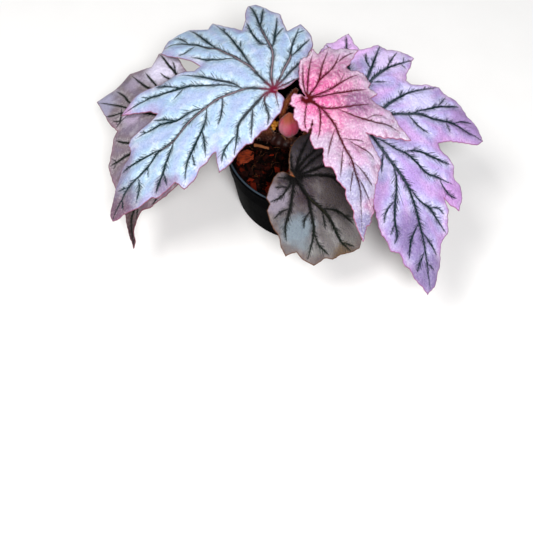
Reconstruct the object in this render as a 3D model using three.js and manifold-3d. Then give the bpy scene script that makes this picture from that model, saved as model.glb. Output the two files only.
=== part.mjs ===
// A rex begonia in its black nursery pot. Millimetres, +Z up. The origin is the middle of the pot's
// flat underside, +X is the plant's right and -Y is the side that the plant shows to the front.
import * as THREE from "three";
import { mergeVertices } from "three/addons/utils/BufferGeometryUtils.js";
import Module from "manifold-3d";

const CLEARANCE = 0.3; // left between two pieces that touch

// The pot: a low, thin-walled round plastic pot with a stacking collar.
const POT_HEIGHT = 62;
const RIM_RADIUS = 60;
const RIM_LIP_HEIGHT = 5;
const COLLAR_RADIUS = 58.4;
const COLLAR_STEP_HEIGHT = 42;
const STEP_WIDTH = 1.4;
const FOOT_RADIUS = 52;
const WALL = 1.4;
const FLOOR_THICKNESS = 2;
const FOOT_CHAMFER = 1.5;
const POT_SIDES = 72;
const DRAIN_HOLES = 8;
const DRAIN_HOLE_RADIUS = 4;
const DRAIN_RING_RADIUS = 38;

// The potting mix fills the pot to just over the collar's step.
const SOIL_LEVEL = 44;
const SOIL_RELIEF = 1.6;
const SOIL_RINGS = 14;
const SOIL_SIDES = 48;

// The rhizome lies half out of the soil and carries all the leaf stalks.
const RHIZOME_START = [-24, 14, 44];
const RHIZOME_MIDDLE = [-4, 5, 47];
const RHIZOME_END = [10, -4, 45];
const RHIZOME_RADIUS = 6;
const STALK_ROOT_RADIUS = 3.4;
const STALK_TOP_RADIUS = 2.1;
const STALK_SIDES = 10;
const STALK_STEPS = 14;
const STALK_SEAT_GAP = 0.7; // under a blade, whose veins fall away from the stalk by about half of it
const BUD_STALK_RADIUS = 2.4;
const BUD_SEAT = [-11, 8, 57];
const BUD_PROFILE = [
  [0, 0], [2.6, 0], [4.8, 3], [7.2, 7], [8, 11.5], [7.3, 16.5], [5.2, 21], [2.4, 25.5], [0, 28],
];

// Leaf blades.
const BLADE_THICKNESS = 1;
const KEEL_DEPTH = 2; // how far a main vein stands out of the underside at the stalk
const ACROSS = [0, 0.14, 0.55, 1]; // rows of vertices from a main vein out to the margin
const SIDE_VEIN_SLANT = 0.9; // how far forward the side veins lean
const LEAST_STEP = 0.15; // least spacing of side veins, against an even spacing

// Small things on the soil.
const FEED_GRAIN_RADIUS = 1.7;
const CHIP_SIZE = [15, 11, 5];
const TWIG_RADIUS = 1.3;

const wasm = await Module();
wasm.setup();

const radians = THREE.MathUtils.degToRad;

function plastic(color, roughness) {
  return new THREE.MeshStandardMaterial({ color, roughness, metalness: 0 });
}

function namedMesh(name, geometry, material) {
  const mesh = new THREE.Mesh(geometry, material);
  mesh.name = name;
  return mesh;
}

function solidOf(geometry) {
  const bare = geometry.clone();
  bare.deleteAttribute("normal");
  bare.deleteAttribute("uv");
  const merged = mergeVertices(bare, 1e-4);
  return new wasm.Manifold(new wasm.Mesh({
    numProp: 3,
    vertProperties: Float32Array.from(merged.attributes.position.array),
    triVerts: Uint32Array.from(merged.index.array),
  }));
}

function geometryOf(solid) {
  const mesh = solid.getMesh();
  const geometry = new THREE.BufferGeometry();
  geometry.setAttribute("position", new THREE.BufferAttribute(mesh.vertProperties, 3));
  geometry.setIndex(new THREE.BufferAttribute(mesh.triVerts, 1));
  geometry.computeVertexNormals();
  return geometry;
}

function lathe(profile, sides) {
  const points = profile.map(([radius, height]) => new THREE.Vector2(radius, height));
  return new THREE.LatheGeometry(points, sides).rotateX(Math.PI / 2);
}

// A closed round tube along a curve, with a radius for each end.
function taperedTube(curve, startRadius, endRadius, sides, steps) {
  const frames = curve.computeFrenetFrames(steps, false);
  const positions = [];
  const index = [];
  for (let i = 0; i <= steps; i += 1) {
    const middle = curve.getPointAt(i / steps);
    const radius = THREE.MathUtils.lerp(startRadius, endRadius, i / steps);
    for (let k = 0; k < sides; k += 1) {
      const angle = (2 * Math.PI * k) / sides;
      const spoke = frames.normals[i].clone().multiplyScalar(Math.cos(angle) * radius);
      spoke.addScaledVector(frames.binormals[i], Math.sin(angle) * radius);
      positions.push(...middle.clone().add(spoke).toArray());
    }
  }
  const startCap = positions.length / 3;
  positions.push(...curve.getPointAt(0).toArray(), ...curve.getPointAt(1).toArray());
  for (let k = 0; k < sides; k += 1) {
    const next = (k + 1) % sides;
    for (let i = 0; i < steps; i += 1) {
      const [a, b] = [i * sides + k, i * sides + next];
      index.push(a, b, b + sides, a, b + sides, a + sides);
    }
    index.push(startCap, next, k);
    index.push(startCap + 1, steps * sides + k, steps * sides + next);
  }
  const geometry = new THREE.BufferGeometry();
  geometry.setAttribute("position", new THREE.Float32BufferAttribute(positions, 3));
  geometry.setIndex(index);
  geometry.computeVertexNormals();
  return geometry;
}

function ball(radius, middle, sides = 12, rings = 8) {
  return new THREE.SphereGeometry(radius, sides, rings).rotateX(Math.PI / 2).translate(...middle);
}

// Pot ---------------------------------------------------------------------------------------------

function wallRadius(height) {
  const top = COLLAR_RADIUS - STEP_WIDTH;
  return FOOT_RADIUS + ((top - FOOT_RADIUS) * height) / COLLAR_STEP_HEIGHT;
}

function potGeometry() {
  const innerFloor = wallRadius(FLOOR_THICKNESS) - WALL;
  const profile = [
    [0, 0],
    [FOOT_RADIUS - FOOT_CHAMFER, 0],
    [FOOT_RADIUS, FOOT_CHAMFER],
    [wallRadius(COLLAR_STEP_HEIGHT), COLLAR_STEP_HEIGHT],
    [COLLAR_RADIUS - 0.6, COLLAR_STEP_HEIGHT + 1],
    [COLLAR_RADIUS, POT_HEIGHT - RIM_LIP_HEIGHT],
    [RIM_RADIUS - 0.3, POT_HEIGHT - RIM_LIP_HEIGHT + 0.4],
    [RIM_RADIUS, POT_HEIGHT - 1],
    [RIM_RADIUS - 0.8, POT_HEIGHT],
    [RIM_RADIUS - 2.2, POT_HEIGHT],
    [COLLAR_RADIUS - WALL, POT_HEIGHT - 1.2],
    [COLLAR_RADIUS - 0.6 - WALL, COLLAR_STEP_HEIGHT + 1 + WALL],
    [wallRadius(COLLAR_STEP_HEIGHT + WALL) - WALL, COLLAR_STEP_HEIGHT + WALL],
    [innerFloor, FLOOR_THICKNESS],
    [0, FLOOR_THICKNESS],
  ];
  let solid = solidOf(lathe(profile, POT_SIDES));
  for (let i = 0; i < DRAIN_HOLES; i += 1) {
    const angle = (2 * Math.PI * (i + 0.5)) / DRAIN_HOLES;
    const hole = new THREE.CylinderGeometry(DRAIN_HOLE_RADIUS, DRAIN_HOLE_RADIUS, 12, 16);
    hole.rotateX(Math.PI / 2);
    hole.translate(DRAIN_RING_RADIUS * Math.cos(angle), DRAIN_RING_RADIUS * Math.sin(angle), 0);
    solid = solid.subtract(solidOf(hole));
  }
  return geometryOf(solid);
}

// Soil --------------------------------------------------------------------------------------------

// The lumps of bark and grit in the mix, as a sum of crossed waves.
function soilHeight(x, y) {
  const coarse = Math.sin(x / 4.1 + 1.3) * Math.sin(y / 3.7 + 0.4);
  const fine = Math.sin(x / 1.9 + y / 2.6) * Math.sin(y / 2.2 - x / 3.1 + 2);
  return SOIL_LEVEL + SOIL_RELIEF * (0.55 * coarse + 0.45 * fine);
}

function soilGeometry(sockets) {
  const edgeHeight = SOIL_LEVEL - SOIL_RELIEF;
  const floor = FLOOR_THICKNESS + CLEARANCE;
  const topRadius = wallRadius(edgeHeight) - WALL - CLEARANCE;
  const footRadius = wallRadius(floor) - WALL - CLEARANCE;
  const positions = [0, 0, soilHeight(0, 0)];
  const index = [];
  for (let ring = 1; ring <= SOIL_RINGS; ring += 1) {
    const radius = (topRadius * ring) / SOIL_RINGS;
    for (let k = 0; k < SOIL_SIDES; k += 1) {
      const angle = (2 * Math.PI * k) / SOIL_SIDES;
      const [x, y] = [radius * Math.cos(angle), radius * Math.sin(angle)];
      positions.push(x, y, ring < SOIL_RINGS ? soilHeight(x, y) : edgeHeight);
    }
  }
  for (let k = 0; k < SOIL_SIDES; k += 1) {
    const angle = (2 * Math.PI * k) / SOIL_SIDES;
    positions.push(footRadius * Math.cos(angle), footRadius * Math.sin(angle), floor);
  }
  const bottomMiddle = positions.length / 3;
  positions.push(0, 0, floor);
  const at = (ring, k) => 1 + (ring - 1) * SOIL_SIDES + (k % SOIL_SIDES);
  for (let k = 0; k < SOIL_SIDES; k += 1) {
    index.push(0, at(1, k), at(1, k + 1));
    for (let ring = 1; ring <= SOIL_RINGS; ring += 1) {
      index.push(at(ring, k), at(ring + 1, k), at(ring + 1, k + 1));
      index.push(at(ring, k), at(ring + 1, k + 1), at(ring, k + 1));
    }
    index.push(bottomMiddle, at(SOIL_RINGS + 1, k + 1), at(SOIL_RINGS + 1, k));
  }
  const geometry = new THREE.BufferGeometry();
  geometry.setAttribute("position", new THREE.Float32BufferAttribute(positions, 3));
  geometry.setIndex(index);
  let solid = solidOf(geometry);
  for (const socket of sockets) {
    solid = solid.subtract(solidOf(socket));
  }
  return geometryOf(solid);
}

// Leaf blades -------------------------------------------------------------------------------------

// A blade is drawn in its own plane: the stalk meets it at 0, 0, +x runs along the longest lobe and
// +y is to its left. The outline goes round from the sinus behind the stalk, a lobe at a time:
// the margin up to the tip, the lobe's main vein out to the tip, the margin down, the next notch.
function lobe(rising, vein, falling, notch) {
  return { rising, vein, falling, notch };
}

const BLADES = [
  {
    name: "blade_silver",
    color: 0xc3d3e6,
    seat: [-23, -4, 126],
    heading: 214,
    pitch: 6,
    arch: { tip: 215, base: 150, left: 150, right: 165 },
    wave: { height: 3, count: 5, phase: 20 },
    sinus: [-2, 1],
    lobes: [
      lobe([[-8, 3]], [[-11, 1], [-21, 1]], [], [-24, -4]),
      lobe([], [[-18, -6], [-35, -10]], [], [-40, -15]),
      lobe([[-47, -20]], [[-15, -10], [-26, -18], [-38, -22], [-52, -29]],
        [[-54, -38], [-54, -46], [-48, -45]], [-41, -44]),
      lobe([[-44, -53], [-49, -67], [-47, -75], [-47, -85], [-46, -97]],
        [[-6, -12], [-19, -30], [-27, -57], [-41, -101]], [[-34, -93], [-25, -78]], [-17, -69]),
      lobe([[-13, -85]], [[1, -14], [0, -30], [-3, -48], [-6, -69], [-10, -104]],
        [[-6, -101]], [-3, -99]),
      lobe([[1, -106], [5, -117], [14, -118], [24, -117]],
        [[1, -18], [3, -39], [7, -59], [17, -87], [25, -102], [38, -101]],
        [[37, -92], [33, -82], [29, -69]], [27, -57]),
      lobe([[32, -56], [36, -60], [42, -64], [50, -66], [55, -67], [62, -71], [72, -76],
        [80, -76]],
      [[8, -8], [14, -15], [24, -27], [37, -40], [47, -49], [68, -64], [80, -69], [91, -74]],
      [[82, -63], [74, -54]], [71, -47]),
      lobe([[80, -47], [89, -48], [96, -49], [100, -46], [101, -40], [105, -37], [112, -35],
        [124, -26], [135, -16], [139, -11]],
      [[8, -8], [15, -14], [29, -19], [43, -21], [58, -21], [74, -17], [100, -16], [117, -16],
        [128, -12], [140, -6]],
      [[136, -3], [131, -2], [119, 4], [110, 6], [107, 9], [97, 10], [91, 10], [90, 13],
        [89, 19], [84, 19], [78, 18], [73, 15], [67, 15], [62, 13]], [58, 13]),
      lobe([[61, 19]], [[12, 4], [30, 9], [48, 16], [64, 26]],
        [[57, 26], [50, 25], [44, 23], [38, 22], [35, 24]], [29, 22]),
      lobe([[24, 21]], [[8, 2], [14, 14], [21, 22]], [[16, 20]], [11, 18]),
      lobe([], [[4, 8], [6, 17]], [[1, 13], [-2, 10], [-2, 5]], [-1, 2]),
    ],
  },
  {
    name: "blade_young",
    color: 0xe0a8bb,
    seat: [-1, -23, 140],
    heading: -67,
    pitch: 10,
    arch: { tip: 210, base: 130, left: 165, right: 130 },
    wave: { height: 3, count: 6, phase: 140 },
    sinus: [-3, 0.5],
    lobes: [
      lobe([[-7, 0], [-13, 0], [-20, 3], [-28, 7]], [[-14, 4], [-33, 12]], [], [-32, 15]),
      lobe([], [[-17, 9], [-39, 22]], [], [-32, 23]),
      lobe([[-34, 28]], [[-9, 12], [-21, 21], [-37, 34]], [], [-32, 37]),
      lobe([[-32, 43], [-30, 48]], [[-9, 12], [-18, 29], [-28, 53]], [[-22, 46]], [-15, 36]),
      lobe([[-11, 41]], [[-2, 18], [-5, 30], [-8, 47]], [[1, 48]], [3, 45]),
      lobe([], [[2, 17], [3, 31], [9, 50]], [], [12, 44]),
      lobe([[17, 46], [22, 51], [29, 54], [36, 55]], [[9, 7], [20, 23], [34, 44], [47, 59]],
        [[45, 51], [42, 41], [39, 35]], [35, 29]),
      lobe([[39, 30], [43, 30], [47, 31], [55, 32], [61, 28], [68, 23], [76, 18], [85, 14],
        [90, 9], [94, 5]],
      [[9, 5], [24, 10], [39, 10], [50, 11], [69, 9], [100, 0]],
      [[94, -1], [86, -1], [78, 0], [72, -1], [66, 0], [62, -1], [58, -3], [53, -2], [49, -3],
        [47, -6], [41, -6], [36, -4], [34, -9], [28, -9], [22, -6]], [15, -2]),
      lobe([[21, -7]], [[4, -4], [15, -8], [23, -9]], [[18, -12], [12, -13], [6, -13]], [3, -10]),
      lobe([], [[-1, -12]], [[-5, -9], [-7, -6], [-5, -2.5]], [-2, -1]),
    ],
  },
  {
    name: "blade_mauve",
    color: 0xc7aede,
    seat: [32, -14, 116],
    heading: -65,
    pitch: 10,
    arch: { tip: 240, base: 130, left: 210, right: 130 },
    wave: { height: 3, count: 5, phase: 200 },
    sinus: [-2, -2],
    lobes: [
      lobe([[-9, -7]], [[-14, -5], [-27, -11]], [], [-36, -5]),
      lobe([[-48, -3], [-58, 4]], [[-26, 4], [-65, 14]], [], [-64, 19]),
      lobe([[-67, 27]], [[-31, 15], [-69, 35]], [[-58, 33]], [-48, 32]),
      lobe([[-47, 39]], [[-8, 9], [-20, 22], [-47, 47]], [], [-40, 50]),
      lobe([[-36, 59]], [[-11, 11], [-17, 24], [-23, 39], [-27, 66]],
        [[-20, 59], [-15, 53]], [-10, 49]),
      lobe([[-6, 52], [-3, 63]], [[7, 7], [6, 19], [2, 36], [1, 52], [1, 73]], [], [6, 74]),
      lobe([[12, 80], [21, 83], [28, 83], [36, 86], [44, 86]],
        [[6, 11], [11, 23], [18, 42], [32, 67], [50, 85]],
        [[51, 78], [47, 65], [43, 56]], [43, 48]),
      lobe([[49, 48], [55, 51], [61, 52], [69, 49], [75, 51]],
        [[16, 9], [32, 17], [44, 24], [59, 31], [70, 41], [83, 49]],
        [[90, 44], [85, 39]], [78, 36]),
      lobe([[87, 36], [93, 33], [100, 31], [105, 23], [110, 20], [118, 16], [129, 8]],
        [[12, 2], [22, 4], [36, 7], [55, 11], [75, 13], [92, 11], [108, 8], [133, 0]],
        [[128, -2], [120, -6], [114, -7], [111, -10], [104, -10], [101, -12], [99, -16],
          [92, -16], [85, -18], [77, -17]], [63, -15]),
      lobe([[60, -17]], [[21, -9], [37, -16], [53, -22]], [[43, -22]], [31, -17]),
      lobe([[23, -20]], [[8, -12], [15, -23]], [[6, -20]], [0, -3]),
    ],
  },
  {
    name: "blade_old",
    color: 0x8f8585,
    seat: [-8, -48, 84],
    heading: -58,
    pitch: 16,
    arch: { tip: 130, base: 100, left: 130, right: 100 },
    wave: { height: 4, count: 5, phase: 80 },
    sinus: [-3, 0],
    lobes: [
      lobe([[-7, 0], [-14, 4]], [[-11, 4], [-21, 10]], [], [-24, 15]),
      lobe([[-26, 22]], [[-11, 11], [-26, 30]], [], [-21, 32]),
      lobe([], [[-6, 17], [-15, 39]], [], [-6, 37]),
      lobe([], [[2, 19], [4, 44]], [], [11, 36]),
      lobe([], [[11, 20], [27, 43]], [], [35, 35]),
      lobe([[45, 34], [58, 27]], [[16, 1], [30, 6], [54, 8], [65, 20]], [[65, 11]], [63, 4]),
      lobe([], [[21, 0], [43, -1], [63, -3]], [], [60, -7]),
      lobe([], [[21, -1], [42, -8], [60, -17]], [[53, -22]], [46, -24]),
      lobe([[45, -28]], [[13, -10], [24, -19], [45, -32]],
        [[39, -32], [30, -30], [22, -31], [11, -29]], [8, -25]),
      lobe([], [[2, -9], [4, -17], [3, -25]], [[-1, -21]], [-4, -17]),
      lobe([], [[-3, -7], [-7, -13]], [[-9, -8], [-7, -4]], [-3, -2]),
    ],
  },
  {
    name: "blade_low",
    color: 0x9c8791,
    seat: [-71, -10, 97],
    heading: 236,
    pitch: 14,
    arch: { tip: 130, base: 100, left: 150, right: 130 },
    wave: { height: 3, count: 4, phase: 300 },
    sinus: [-3, 1],
    lobes: [
      lobe([], [[-10, -6], [-21, -14]], [], [-14, -19]),
      lobe([[-22, -28], [-30, -41], [-34, -49], [-40, -60], [-43, -72]],
        [[-9, -16], [-25, -47], [-36, -70], [-40, -82]], [[-31, -78]], [-25, -76]),
      lobe([[-23, -80], [-18, -88], [-15, -94], [-5, -95], [3, -98]],
        [[4, -22], [13, -45], [15, -77], [15, -110]], [[24, -90], [31, -75]], [34, -64]),
      lobe([[40, -63], [49, -59]], [[24, -17], [46, -42], [54, -49], [60, -55]],
        [[66, -48], [72, -40]], [78, -32]),
      lobe([[84, -25], [94, -16]], [[28, -4], [57, -14], [81, -19], [100, -9]],
        [[95, -9], [90, -13], [81, -14], [75, -13], [71, -8], [66, -5], [58, 0], [47, 5],
          [36, 8]], [24, 9]),
      lobe([], [[8, 7], [14, 13]], [[6, 16]], [-1, 12]),
      lobe([], [[-6, 7], [-12, 14]], [[-16, 8]], [-5, 2.5]),
    ],
  },
];

// The blade's surface over its own plane: arched down all round, with slow waves to the margin.
function bladeHeight({ arch, wave }, x, y) {
  const along = (x * x) / (2 * (x > 0 ? arch.tip : arch.base));
  const across = (y * y) / (2 * (y > 0 ? arch.left : arch.right));
  const turn = wave.count * Math.atan2(y, x) + radians(wave.phase);
  return wave.height * ((x * x + y * y) / 1e4) * Math.sin(turn) - along - across;
}

function distance([ax, ay], [bx, by]) {
  return Math.hypot(bx - ax, by - ay);
}

function between([ax, ay], [bx, by], share) {
  return [ax + (bx - ax) * share, ay + (by - ay) * share];
}

// The same line with its longest stretches halved until it has the number of points asked for.
function refined(line, count) {
  const points = line.slice();
  while (points.length < count) {
    let longest = 0;
    for (let i = 1; i < points.length - 1; i += 1) {
      if (distance(points[i], points[i + 1]) > distance(points[longest], points[longest + 1])) {
        longest = i;
      }
    }
    points.splice(longest + 1, 0, between(points[longest], points[longest + 1], 0.5));
  }
  return points;
}

function alongLine(line, share) {
  const lengths = line.slice(1).map((point, i) => distance(line[i], point));
  let rest = share * lengths.reduce((sum, length) => sum + length, 0);
  let i = 0;
  while (i < lengths.length - 1 && rest > lengths[i]) {
    rest -= lengths[i];
    i += 1;
  }
  return between(line[i], line[i + 1], Math.min(1, rest / lengths[i]));
}

// Where on the vein, from 0 to 1, the side vein that ends at this margin point branches off.
function branching(vein, point) {
  let best = { gap: Infinity, share: 0 };
  for (let i = 0; i <= 100; i += 1) {
    const gap = distance(alongLine(vein, i / 100), point);
    if (gap < best.gap) {
      best = { gap, share: i / 100 };
    }
  }
  const length = vein.slice(1).reduce((sum, end, i) => sum + distance(vein[i], end), 0);
  return best.share - (SIDE_VEIN_SLANT * best.gap) / length;
}

// The flat triangles of one lobe, as [x, y, keel] vertices: strips from the vein to both margins.
function lobeTriangles(before, { rising, vein, falling, notch }) {
  const tip = vein[vein.length - 1];
  const line = [[0, 0], ...vein];
  const count = Math.max(rising.length + 2, falling.length + 2, vein.length > 3 ? 5 : 3);
  const margins = [
    refined([before, ...rising, tip], count),
    refined([notch, ...falling.slice().reverse(), tip], count),
  ];
  const shares = [0];
  for (let i = 1; i < count - 1; i += 1) {
    const wish = (branching(line, margins[0][i]) + branching(line, margins[1][i])) / 2;
    const least = shares[i - 1] + LEAST_STEP / count;
    const most = 1 - (LEAST_STEP * (count - 1 - i)) / count;
    shares.push(Math.min(most, Math.max(least, wish)));
  }
  shares.push(1);
  const roots = shares.map((share) => alongLine(line, share));
  const triangles = [];
  for (const margin of margins) {
    const vertex = (i, row) => {
      const point = between(roots[i], margin[i], ACROSS[row]);
      return [...point, row === 0 ? KEEL_DEPTH * (1 - shares[i]) : 0];
    };
    for (let i = 0; i < count - 1; i += 1) {
      for (let row = 0; row < ACROSS.length - 1; row += 1) {
        const [a, b] = [vertex(i, row), vertex(i, row + 1)];
        const [c, d] = [vertex(i + 1, row), vertex(i + 1, row + 1)];
        if (i === count - 2) {
          triangles.push([a, b, d]);
        } else if (turnsLeft([a, b, d]) === turnsLeft([a, d, c])) {
          triangles.push([a, b, d], [a, d, c]);
        } else {
          triangles.push([a, b, c], [b, d, c]);
        }
      }
    }
  }
  return triangles;
}

function turnsLeft([[ax, ay], [bx, by], [cx, cy]]) {
  return (bx - ax) * (cy - ay) - (by - ay) * (cx - ax) > 0;
}

function bladeGeometry(blade) {
  const flat = [];
  let before = blade.sinus;
  for (const each of blade.lobes) {
    flat.push(...lobeTriangles(before, each));
    before = each.notch;
  }
  const corners = new Map();
  const outline = [];
  const faces = [];
  const cornerOf = ([x, y, keel]) => {
    const key = `${x.toFixed(3)},${y.toFixed(3)}`;
    if (!corners.has(key)) {
      corners.set(key, outline.length);
      outline.push([x, y, keel]);
    }
    return corners.get(key);
  };
  for (const triangle of flat) {
    const face = (turnsLeft(triangle) ? triangle : triangle.slice().reverse()).map(cornerOf);
    if (new Set(face).size === 3) {
      faces.push(face);
    }
  }
  const top = outline.map(([x, y]) => [x, y, bladeHeight(blade, x, y)]);
  const under = top.map(([x, y, z], i) => [x, y, z - BLADE_THICKNESS - outline[i][2]]);
  const count = top.length;
  const edges = new Set(faces.flatMap(([a, b, c]) => [`${a} ${b}`, `${b} ${c}`, `${c} ${a}`]));
  const index = [];
  for (const [a, b, c] of faces) {
    index.push(a, b, c, c + count, b + count, a + count);
    for (const [from, to] of [[a, b], [b, c], [c, a]]) {
      if (!edges.has(`${to} ${from}`)) {
        index.push(from, from + count, to + count, from, to + count, to);
      }
    }
  }
  const geometry = new THREE.BufferGeometry();
  geometry.setAttribute("position", new THREE.Float32BufferAttribute([...top, ...under].flat(), 3));
  geometry.setIndex(index);
  geometry.computeVertexNormals();
  return geometry;
}

function bladeMesh(blade) {
  const mesh = namedMesh(blade.name, bladeGeometry(blade), plastic(blade.color, 0.55));
  mesh.position.set(...blade.seat);
  mesh.rotation.set(0, radians(blade.pitch), radians(blade.heading), "ZYX");
  return mesh;
}

// Rhizome and stalks ------------------------------------------------------------------------------

// Each stalk leaves the rhizome at a share of its length, leans out, and rises into its blade.
const STALKS = {
  blade_silver: { root: 0.06, lean: [-20, 6, 28], rise: 34 },
  blade_young: { root: 0.65, lean: [6, 2, 40], rise: 34 },
  blade_mauve: { root: 0.92, lean: [14, 2, 34], rise: 26 },
  blade_old: { root: 0.5, lean: [-1, -16, 22], rise: 16 },
  blade_low: { root: 0, lean: [-26, -2, 24], rise: 20 },
};
const BUD_STALK = { root: 0.42, lean: [-2, 2, 5], rise: 4 };
const BARE_STALK = [[-14, 12, 45], [-16, 19.5, 60], [-13, 26, 73], [-5, 31, 84]];

function curveThrough(points) {
  return new THREE.CatmullRomCurve3(points.map((point) => new THREE.Vector3(...point)));
}

function rhizomeCurve() {
  return curveThrough([RHIZOME_START, RHIZOME_MIDDLE, RHIZOME_END]);
}

function stalkCurve({ root, lean, rise }, end, normal) {
  const start = rhizomeCurve().getPoint(root);
  return new THREE.CubicBezierCurve3(
    start,
    start.clone().add(new THREE.Vector3(...lean)),
    end.clone().addScaledVector(normal, -rise),
    end,
  );
}

function bladeStalk(blade) {
  const turn = new THREE.Euler(0, radians(blade.pitch), radians(blade.heading), "ZYX");
  const normal = new THREE.Vector3(0, 0, 1).applyEuler(turn);
  const seat = new THREE.Vector3(...blade.seat);
  const end = seat.addScaledVector(normal, -(BLADE_THICKNESS + KEEL_DEPTH + STALK_SEAT_GAP));
  return taperedTube(
    stalkCurve(STALKS[blade.name], end, normal),
    STALK_ROOT_RADIUS, STALK_TOP_RADIUS, STALK_SIDES, STALK_STEPS,
  );
}

function budStalk() {
  const up = new THREE.Vector3(0, 0, 1);
  const end = new THREE.Vector3(...BUD_SEAT).addScaledVector(up, -CLEARANCE);
  return taperedTube(stalkCurve(BUD_STALK, end, up), STALK_ROOT_RADIUS, BUD_STALK_RADIUS, STALK_SIDES, 6);
}

// The stub of an old stalk that has lost its blade.
function bareStalk() {
  return taperedTube(curveThrough(BARE_STALK), BUD_STALK_RADIUS, STALK_TOP_RADIUS, STALK_SIDES, 8);
}

function rhizomeSolid(radius) {
  const curve = rhizomeCurve();
  let solid = solidOf(taperedTube(curve, radius, radius * 0.9, 14, 10));
  solid = solid.add(solidOf(ball(radius, RHIZOME_START, 14, 10)));
  return solid.add(solidOf(ball(radius * 0.9, RHIZOME_END, 14, 10)));
}

function rhizomeGeometry() {
  let solid = rhizomeSolid(RHIZOME_RADIUS);
  for (const stalk of [...BLADES.map(bladeStalk), budStalk(), bareStalk()]) {
    solid = solid.add(solidOf(stalk));
  }
  return geometryOf(solid);
}

// Bud, feed grains, bark chip and twig ------------------------------------------------------------

function budGeometry() {
  return lathe(BUD_PROFILE, 20).scale(1, 0.8, 1).translate(...BUD_SEAT);
}

const FEED_GRAINS = [[-21.7, 28.8], [-18.9, 28], [-22.9, 26], [-20.6, 26.2], [-22.3, 23.2]];

function feedGrains(extra) {
  return FEED_GRAINS.map(([x, y]) => ball(FEED_GRAIN_RADIUS + extra, [x, y, SOIL_LEVEL + 1.4], 12, 8));
}

const CHIP_PLACE = [-44, -4, SOIL_LEVEL + 1.2];

function chip(extra) {
  const [length, width, height] = CHIP_SIZE.map((size) => size + 2 * extra);
  const outline = new THREE.Shape([
    [-0.5, -0.2], [-0.2, -0.5], [0.3, -0.42], [0.5, 0], [0.34, 0.44], [-0.1, 0.5], [-0.42, 0.3],
  ].map(([x, y]) => new THREE.Vector2(x * length, y * width)));
  const slab = new THREE.ExtrudeGeometry(outline, { depth: height, bevelEnabled: false });
  slab.translate(0, 0, -height / 2);
  slab.rotateY(radians(8));
  slab.rotateZ(radians(35));
  return slab.translate(...CHIP_PLACE);
}

const TWIG_ENDS = [[-37, 7, SOIL_LEVEL + 1.4], [-26, 4, SOIL_LEVEL + 2]];

function twig(extra) {
  const [start, end] = TWIG_ENDS.map((point) => new THREE.Vector3(...point));
  const reach = end.clone().sub(start).normalize().multiplyScalar(extra);
  const line = new THREE.LineCurve3(start.sub(reach), end.add(reach));
  return taperedTube(line, TWIG_RADIUS + extra, TWIG_RADIUS * 0.8 + extra, 8, 1);
}

function joined(geometries) {
  return geometryOf(geometries.map(solidOf).reduce((sum, solid) => sum.add(solid)));
}

const plant = new THREE.Group();
plant.add(namedMesh("pot", potGeometry(), plastic(0x0d0e10, 0.35)));
const sockets = [
  geometryOf(rhizomeSolid(RHIZOME_RADIUS + CLEARANCE)),
  ...feedGrains(CLEARANCE),
  chip(CLEARANCE),
  twig(CLEARANCE),
];
plant.add(namedMesh("soil", soilGeometry(sockets), plastic(0x1c110c, 0.95)));
plant.add(namedMesh("rhizome_and_stalks", rhizomeGeometry(), plastic(0x7a3a2a, 0.6)));
for (const blade of BLADES) {
  plant.add(bladeMesh(blade));
}
plant.add(namedMesh("bud", budGeometry(), plastic(0xd4576a, 0.4)));
plant.add(namedMesh("feed_grains", joined(feedGrains(0)), plastic(0xd9861c, 0.3)));
plant.add(namedMesh("bark_chip", chip(0), plastic(0x4a1c10, 0.9)));
plant.add(namedMesh("twig", twig(0), plastic(0x7c3f25, 0.8)));

export default plant;
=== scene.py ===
import math

import bpy
import numpy as np
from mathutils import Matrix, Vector, kdtree
from mathutils.geometry import delaunay_2d_cdt


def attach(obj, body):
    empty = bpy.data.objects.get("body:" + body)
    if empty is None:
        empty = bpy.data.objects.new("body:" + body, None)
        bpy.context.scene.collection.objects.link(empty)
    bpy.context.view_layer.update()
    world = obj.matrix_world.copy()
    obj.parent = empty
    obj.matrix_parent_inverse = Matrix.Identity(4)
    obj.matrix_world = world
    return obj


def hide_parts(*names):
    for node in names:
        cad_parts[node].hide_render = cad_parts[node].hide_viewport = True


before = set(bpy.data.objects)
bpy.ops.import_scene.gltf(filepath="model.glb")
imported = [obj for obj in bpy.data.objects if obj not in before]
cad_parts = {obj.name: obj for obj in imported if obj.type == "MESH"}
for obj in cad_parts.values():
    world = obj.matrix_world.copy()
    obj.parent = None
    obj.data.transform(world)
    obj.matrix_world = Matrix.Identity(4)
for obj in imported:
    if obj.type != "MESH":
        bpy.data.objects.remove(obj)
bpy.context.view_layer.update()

# ---------------------------------------------------------------------------------------------
# The pot. A low, thin-walled round nursery pot, injection moulded in black plastic in one piece,
# with a stacking collar, a rim lip, a chamfered foot and a ring of drain holes in its floor.

MM = 0.001
POT_HEIGHT = 62
POT_SIDES = 240
RIM_RADIUS = 60
RIM_LIP_HEIGHT = 5
RIM_LIP_WIDTH = 2.2
COLLAR_RADIUS = 58.4
COLLAR_DRAFT = 0.6
STEP_HEIGHT = 42
STEP_WIDTH = 1.4
FOOT_RADIUS = 52
FOOT_CHAMFER = 1.5
WALL = 1.4
FLOOR = 2
CORNER_ROUND = 0.6
DRAIN_HOLES = 8
DRAIN_HOLE_RADIUS = 4
DRAIN_RING_RADIUS = 38


def colour(code):
    """A web colour as linear red, green, blue and full cover."""
    parts = [int(code[i:i + 2], 16) / 255 for i in (1, 3, 5)]
    return [c / 12.92 if c <= 0.04045 else ((c + 0.055) / 1.055) ** 2.4 for c in parts] + [1]


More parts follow.
